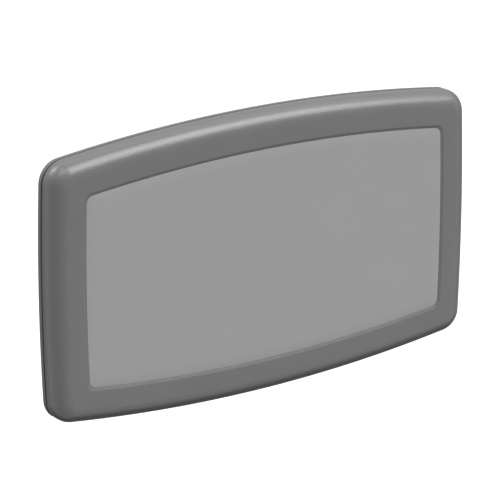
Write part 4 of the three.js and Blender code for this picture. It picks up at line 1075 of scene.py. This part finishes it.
def woven(name, level):
    """Webbing: crossed waves of warp and weft raised as a plain weave, with fuzz in colour and gloss."""
    material, tree = finish(name)
    spot = wired(tree, "SeparateXYZ", {0: wired(tree, "TexCoord").outputs["Object"]}).outputs
    warp = worked(tree, "SINE", worked(tree, "MULTIPLY", spot["X"], math.tau / WARP_PITCH))
    weft = worked(tree, "SINE", worked(tree, "MULTIPLY", spot["Z"], math.tau / WEFT_PITCH))
    fuzz = noise(tree, 1800, 4)
    height = worked(tree, "ADD", worked(tree, "MULTIPLY", warp, weft), fuzz)
    return coat(material, {
        "Base Color": tint(tree, spread(tree, height, start=-0.4, end=1.4), level - 14, level + 12),
        "Roughness": spread(tree, fuzz, 0.7, 0.9),
        "Specular IOR Level": 0.25,
        "Sheen Weight": 0.25,
        "Normal": relief(tree, height, 0.00022),
    })


charcoal_web = woven("charcoal_webbing", 50)
web_section = soft_oblong(WEB_WIDTH, WEB_THICK, power=6, count=36)


def web_on_basin(z, inset):
    """Centre line of webbing that lies on the changing surface, at heights z an inset from its edge."""
    return line(basin_y(inset) + WEB_FLOAT + WEB_THICK / 2, z)


def smooth(share):
    """Ease from 0 to 1 with no slope at either end."""
    share = np.clip(share, 0, 1)
    return share * share * (3 - 2 * share)


ENTRY_RISE = 0.034
INTO_SOCKET = 0.006
upper_anchor_z = HALF_HEIGHT - ANCHOR_INSET
lower_anchor_z = ANCHOR_INSET + CHANNEL - HALF_HEIGHT
upper_z = np.linspace(upper_anchor_z + ANCHOR_LENGTH / 2, socket_high.z - INTO_SOCKET, 60)
upper_path = web_on_basin(upper_z, HALF_HEIGHT - upper_z)
into_buckle = smooth((socket_high.z + ENTRY_RISE - upper_z) / ENTRY_RISE)
upper_path[:, 0] += (BUCKLE_Y - upper_path[:, 0]) * into_buckle
place("strap_upper_webbing", carried(upper_path, *web_section), charcoal_web, "strap_upper")

lower_z = np.linspace(lower_anchor_z - ANCHOR_LENGTH / 2, plug_low.z - 0.0003, 60)
lower_path = web_on_basin(lower_z, lower_z + HALF_HEIGHT - CHANNEL)
place("strap_lower_webbing", carried(lower_path, *web_section), charcoal_web, "strap_lower")

SLOT_WALL = 0.0024
TAIL_RAMP = 0.016
TAIL_POINTS = 11
tail_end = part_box("strap_tail")[0].z
tail_y = middle("strap_tail").y
bar_y = plug_high.y - 0.001
bar_z = plug_low.z + SLOT_WALL / 2
bar_turn = np.linspace(0, math.pi, 13)
bar_radius = SLOT_WALL / 2 + WEB_THICK / 2 + 0.0002
over_bar = line(bar_y + bar_radius * np.sin(bar_turn), bar_z + bar_radius * np.cos(bar_turn))
down_slot = line(np.linspace(plug_low.y + 0.002, bar_y, 8)[:-1], over_bar[0, 1])
off_y, off_z = over_bar[-1]
ramp_share = np.linspace(0, 1, 22)[1:]
ramp = line(off_y + (tail_y - off_y) * smooth(ramp_share * 1.1), off_z - TAIL_RAMP * ramp_share)
flat = line(tail_y, np.linspace(ramp[-1, 1], tail_end, TAIL_POINTS + 1)[1:])
tail_path = np.concatenate([down_slot, over_bar, ramp, flat])
place("strap_tail_webbing", carried(tail_path, *web_section), charcoal_web, "strap_tail")

STITCH_PITCH = 0.0030
STITCH_LENGTH = 0.0023
THREAD = 0.0004
STITCH_BULGE = np.array([0.25, 0.85, 1.0, 0.85, 0.25])


def sewn(path, seams):
    """Stitches along straight seams of (x, z) ends on a path: each a short spindle laid on the webbing."""
    starts, ways = [], []
    for (x0, z0), (x1, z1) in seams:
        length = math.hypot(x1 - x0, z1 - z0)
        share = (np.arange(int(length / STITCH_PITCH)) + 0.5) * STITCH_PITCH / length
        starts.append(np.stack([x0 + (x1 - x0) * share, z0 + (z1 - z0) * share], 1))
        ways.append(np.tile([(x1 - x0) / length, (z1 - z0) / length], (len(share), 1)))
    spots, ways = np.concatenate(starts), np.concatenate(ways)
    order = np.argsort(path[:, 1])
    height = np.interp(spots[:, 1], path[order, 1], path[order, 0])
    slope = np.interp(spots[:, 1], path[order, 1], np.gradient(path[order, 0], path[order, 1]))
    centre = np.stack([spots[:, 0], height + WEB_THICK / 2, spots[:, 1]], 1)
    along = np.stack([ways[:, 0], ways[:, 1] * slope, ways[:, 1]], 1)
    up = np.stack([np.zeros(len(slope)), np.ones(len(slope)), -slope], 1)
    up /= np.linalg.norm(up, axis=1)[:, None]
    beside = np.cross(along, up)
    reach = np.linspace(-0.5, 0.5, 5)[:, None, None] * STITCH_LENGTH
    angle = full_turn(6)[:, None]
    along, up, beside, centre = (v[:, None, None] for v in (along, up, beside, centre))
    rim = THREAD * STITCH_BULGE[:, None, None] * (np.cos(angle) * beside + np.sin(angle) * up)
    return skin(centre + reach * along + rim)


SEAM_HALF = 0.0145
SEAM_LENGTH = 0.020


def box_seam(z):
    """The sides of a sewn box that starts at a height and its two diagonals, as pairs of (x, z) ends."""
    top = z + SEAM_LENGTH
    a, b, c, d = (-SEAM_HALF, z), (SEAM_HALF, z), (SEAM_HALF, top), (-SEAM_HALF, top)
    return [(a, b), (b, c), (c, d), (d, a), (a, c), (b, d)]


pale_thread = woven("pale_thread", 120)
anchor_gap = ANCHOR_LENGTH / 2 + 0.004
upper_seams = box_seam(upper_anchor_z - anchor_gap - SEAM_LENGTH) + box_seam(socket_high.z + 0.006)
lower_seams = box_seam(lower_anchor_z + anchor_gap)
tail_seams = [((-SEAM_HALF, tail_end + rise), (SEAM_HALF, tail_end + rise)) for rise in (0.003, 0.008)]
place("strap_upper_stitching", sewn(upper_path, upper_seams), pale_thread, "strap_upper")
place("strap_lower_stitching", sewn(lower_path, lower_seams), pale_thread, "strap_lower")
place("strap_tail_stitching", sewn(tail_path[-TAIL_POINTS:], tail_seams), pale_thread, "strap_tail")


# Strap anchors
# A black nylon bridge on each slope clamps the strap's end, held by two rivets through its feet.
ANCHOR_HALF = 0.029
ANCHOR_TUNNEL = WEB_FLOAT + WEB_THICK + 0.0006
ANCHOR_TOP = ANCHOR_TUNNEL + 0.0025
ANCHOR_LIFT = 0.0005
FOOT_EASE = 0.0005
RIVET = 0.0032
tunnel_half = WEB_WIDTH / 2 + 0.0005
rivet_x = (ANCHOR_HALF + tunnel_half) / 2
bridge = np.array(rounded([
    (-ANCHOR_HALF, 0, FOOT_EASE), (-ANCHOR_HALF, ANCHOR_TOP, 0.003), (ANCHOR_HALF, ANCHOR_TOP, 0.003),
    (ANCHOR_HALF, 0, FOOT_EASE), (tunnel_half, 0, FOOT_EASE), (tunnel_half, ANCHOR_TUNNEL, 0.0006),
    (-tunnel_half, ANCHOR_TUNNEL, 0.0006), (-tunnel_half, 0, FOOT_EASE),
], closed=True))
rivet = rounded([
    (RIVET, ANCHOR_TOP - 0.0008, 0), (RIVET, ANCHOR_TOP + 0.0004, 0.0004),
    (RIVET / 2, ANCHOR_TOP + 0.0013, 0.0012), (0, ANCHOR_TOP + 0.0014, 0),
])
slope_fall = (basin_y(ANCHOR_INSET - 0.001) - basin_y(ANCHOR_INSET + 0.001)) / 0.002
for node, z, side in (("strap_anchor_upper", upper_anchor_z, -1), ("strap_anchor_lower", lower_anchor_z, 1)):
    ends = (-ANCHOR_LENGTH / 2, ANCHOR_LENGTH / 2)
    clamp = skin([np.column_stack([bridge, np.full(len(bridge), end)]) for end in ends])
    rivets = [spun(rivet, (x, 0, 0), "y", 24) for x in (-rivet_x, rivet_x)]
    anchor_mesh = joined(clamp, *rivets)
    lean = Matrix.Rotation(side * math.atan(slope_fall), 4, "X")
    anchor_mesh.transform(Matrix.Translation((0, basin_y(ANCHOR_INSET) + ANCHOR_LIFT, z)) @ lean)
    broken_edges(place(f"{node}_bridge", anchor_mesh, black_nylon, node), 0.0008, segments=3, angle=60)


# Buckle
# A black nylon side release buckle: the socket is fixed to the upper strap, and the plug's two springing
# prongs and its guide snap into it. The plug takes the adjustable end of the lower strap over a bar.
BUCKLE_EASE = 0.003
SOCKET_WALL = 0.0024
TONGUE_HALF = 0.015
TONGUE_LENGTH = 0.025
WINDOW_HALF = 0.0035
STRAP_SLOT_HALF = 0.0013
THUMB_HALF = 0.011
THUMB_DEPTH = 0.0007
half = socket_high.x
mouth = socket_low.z
hollow_half = TONGUE_HALF + 0.0005
shell = slab(-half, half, socket_low.y, socket_high.y, mouth, socket_high.z, 0.007, BUCKLE_EASE, steps=5)
hollow = slab(
    -hollow_half, hollow_half, socket_low.y + SOCKET_WALL, socket_high.y - SOCKET_WALL,
    mouth - 0.01, mouth + TONGUE_LENGTH + 0.001, corner=0.001, ease=0.001,
)
windows = [
    slab(
        x, x + 0.012, BUCKLE_Y - WINDOW_HALF, BUCKLE_Y + WINDOW_HALF, mouth + 0.010, mouth + 0.025,
        corner=0.002, ease=0.0015,
    )
    for x in (-half - 0.004, half - 0.008)
]
strap_slot = slab(
    -tunnel_half, tunnel_half, BUCKLE_Y - STRAP_SLOT_HALF, BUCKLE_Y + STRAP_SLOT_HALF,
    socket_high.z - 0.008, socket_high.z + 0.004, corner=0.001, ease=0.0006,
)
thumb = slab(
    -THUMB_HALF, THUMB_HALF, socket_high.y - THUMB_DEPTH, socket_high.y + 0.002,
    mouth + 0.011, mouth + 0.026, corner=0.0074, ease=0.0004,
)
socket_mesh = cut(shell, hollow, *windows, strap_slot, thumb)
place("buckle_socket_moulding", socket_mesh, black_nylon, "buckle_socket")

SLOT_LENGTH = 0.0042
PRONG_HALF = 0.003
PRONG_EASE = 0.0008
GUIDE_HALF = 0.0035
plug_top = mouth - 0.0003
slot_z = plug_low.z + SLOT_WALL
prong_root = plug_top - 0.004
prong_end = plug_high.z
prong_y = (BUCKLE_Y - PRONG_HALF, BUCKLE_Y + PRONG_HALF)
plug_body = slab(-half, half, plug_low.y, plug_high.y, plug_low.z, plug_top, 0.006, BUCKLE_EASE, steps=5)
web_slot = slab(
    -tunnel_half, tunnel_half, plug_low.y - 0.005, plug_high.y + 0.005, slot_z, slot_z + SLOT_LENGTH,
    corner=0.001, ease=0.0001, steps=1,
)
prongs = []
for side in (-1, 1):
    arm = sorted((side * 0.0085, side * 0.0125))
    barb = sorted((side * 0.0095, side * TONGUE_HALF))
    prongs.append(slab(*arm, *prong_y, prong_root, prong_end - 0.004, 0.001, PRONG_EASE))
    prongs.append(slab(*barb, *prong_y, prong_end - 0.012, prong_end, 0.0026, PRONG_EASE))
guide = slab(
    -GUIDE_HALF, GUIDE_HALF, BUCKLE_Y - 0.0025, BUCKLE_Y + 0.0025, prong_root, prong_end - 0.005,
    corner=0.0032, ease=PRONG_EASE,
)
plug_mesh = joined(cut(plug_body, web_slot), *prongs, guide)
place("buckle_plug_moulding", plug_mesh, black_nylon, "buckle_plug")


# Stage, light and camera
# A pale floor well below the station and a soft sky; a broad light high on the right, a small one high in
# front on the left and a third behind on the left. The camera looks from the front left and a little above.
FLOOR_Z = -0.95
FLOOR_HALF = 40
quadrants = [(-1, -1), (1, -1), (1, 1), (-1, 1)]
floor_corners = [(x * FLOOR_HALF, y * FLOOR_HALF, FLOOR_Z) for x, y in quadrants]
floor_mesh = bpy.data.meshes.new("floor")
floor_mesh.from_pydata(floor_corners, [], [(0, 1, 2, 3)])
floor = added("floor", floor_mesh)


def seen_directly(tree):
    """1 for rays that show a surface itself: camera, glossy and transmission rays."""
    ray = wired(tree, "LightPath").outputs
    first = worked(tree, "MAXIMUM", ray["Is Camera Ray"], ray["Is Glossy Ray"])
    return worked(tree, "MAXIMUM", first, ray["Is Transmission Ray"])


floor_paint, floor_tree = finish("pale_floor")
floor_colour = tint(floor_tree, seen_directly(floor_tree), 84, 223)
coat(floor_paint, {"Base Color": floor_colour, "Roughness": 1.0, "Specular IOR Level": 0.0})
floor_mesh.materials.append(floor_paint)

SKY_ABOVE = 0.58
SKY_BELOW = 0.13
WHITE = (1, 1, 1, 1)
world = bpy.data.worlds.new("studio")
bpy.context.scene.world = world
world.use_nodes = True
sky_tree = world.node_tree
sky_tree.nodes.clear()
direction = wired(sky_tree, "TexCoord").outputs["Generated"]
up = wired(sky_tree, "SeparateXYZ", {0: direction}).outputs["Z"]
strength = spread(sky_tree, up, SKY_BELOW, SKY_ABOVE, start=-0.15, end=0.35)
sky = wired(sky_tree, "Background", {"Color": WHITE, "Strength": strength}).outputs[0]
backdrop = wired(sky_tree, "Background", {"Color": WHITE}).outputs[0]
either = wired(sky_tree, "MixShader", {0: seen_directly(sky_tree), 1: sky, 2: backdrop}).outputs[0]
wired(sky_tree, "OutputWorld", {0: either})


def towards(azimuth, elevation):
    """Unit vector from the station at an azimuth, positive to the right, and an elevation, in degrees."""
    a, e = math.radians(azimuth), math.radians(elevation)
    return Vector((math.sin(a) * math.cos(e), -math.cos(a) * math.cos(e), math.sin(e)))


def soft_light(name, azimuth, elevation, strength, width):
    """A distant soft light from a direction, as wide as an angle in degrees seen from the station."""
    lamp = bpy.data.lights.new(name, "SUN")
    lamp.energy = strength * math.pi
    lamp.angle = math.radians(width)
    light = added(name, lamp)
    light.rotation_mode = "QUATERNION"
    light.rotation_quaternion = (-towards(azimuth, elevation)).to_track_quat("-Z", "Y")


soft_light("key_light", azimuth=43, elevation=46, strength=0.82, width=35)
soft_light("top_light", azimuth=-32, elevation=60, strength=0.26, width=24)
soft_light("fill_light", azimuth=-138, elevation=48, strength=0.52, width=28)

AIM = Vector((-0.0466, -0.102, 0.0159))
CAMERA_DISTANCE = 5.0145
camera_data = bpy.data.cameras.new("camera")
camera_data.lens = 208.9
camera_data.sensor_width = 36
camera = added("camera", camera_data)
camera.location = AIM + towards(azimuth=-36.15, elevation=17.37) * CAMERA_DISTANCE
camera.rotation_mode = "QUATERNION"
camera.rotation_quaternion = (AIM - camera.location).to_track_quat("-Z", "Y")
bpy.context.scene.camera = camera
bpy.context.scene.view_settings.view_transform = "Standard"
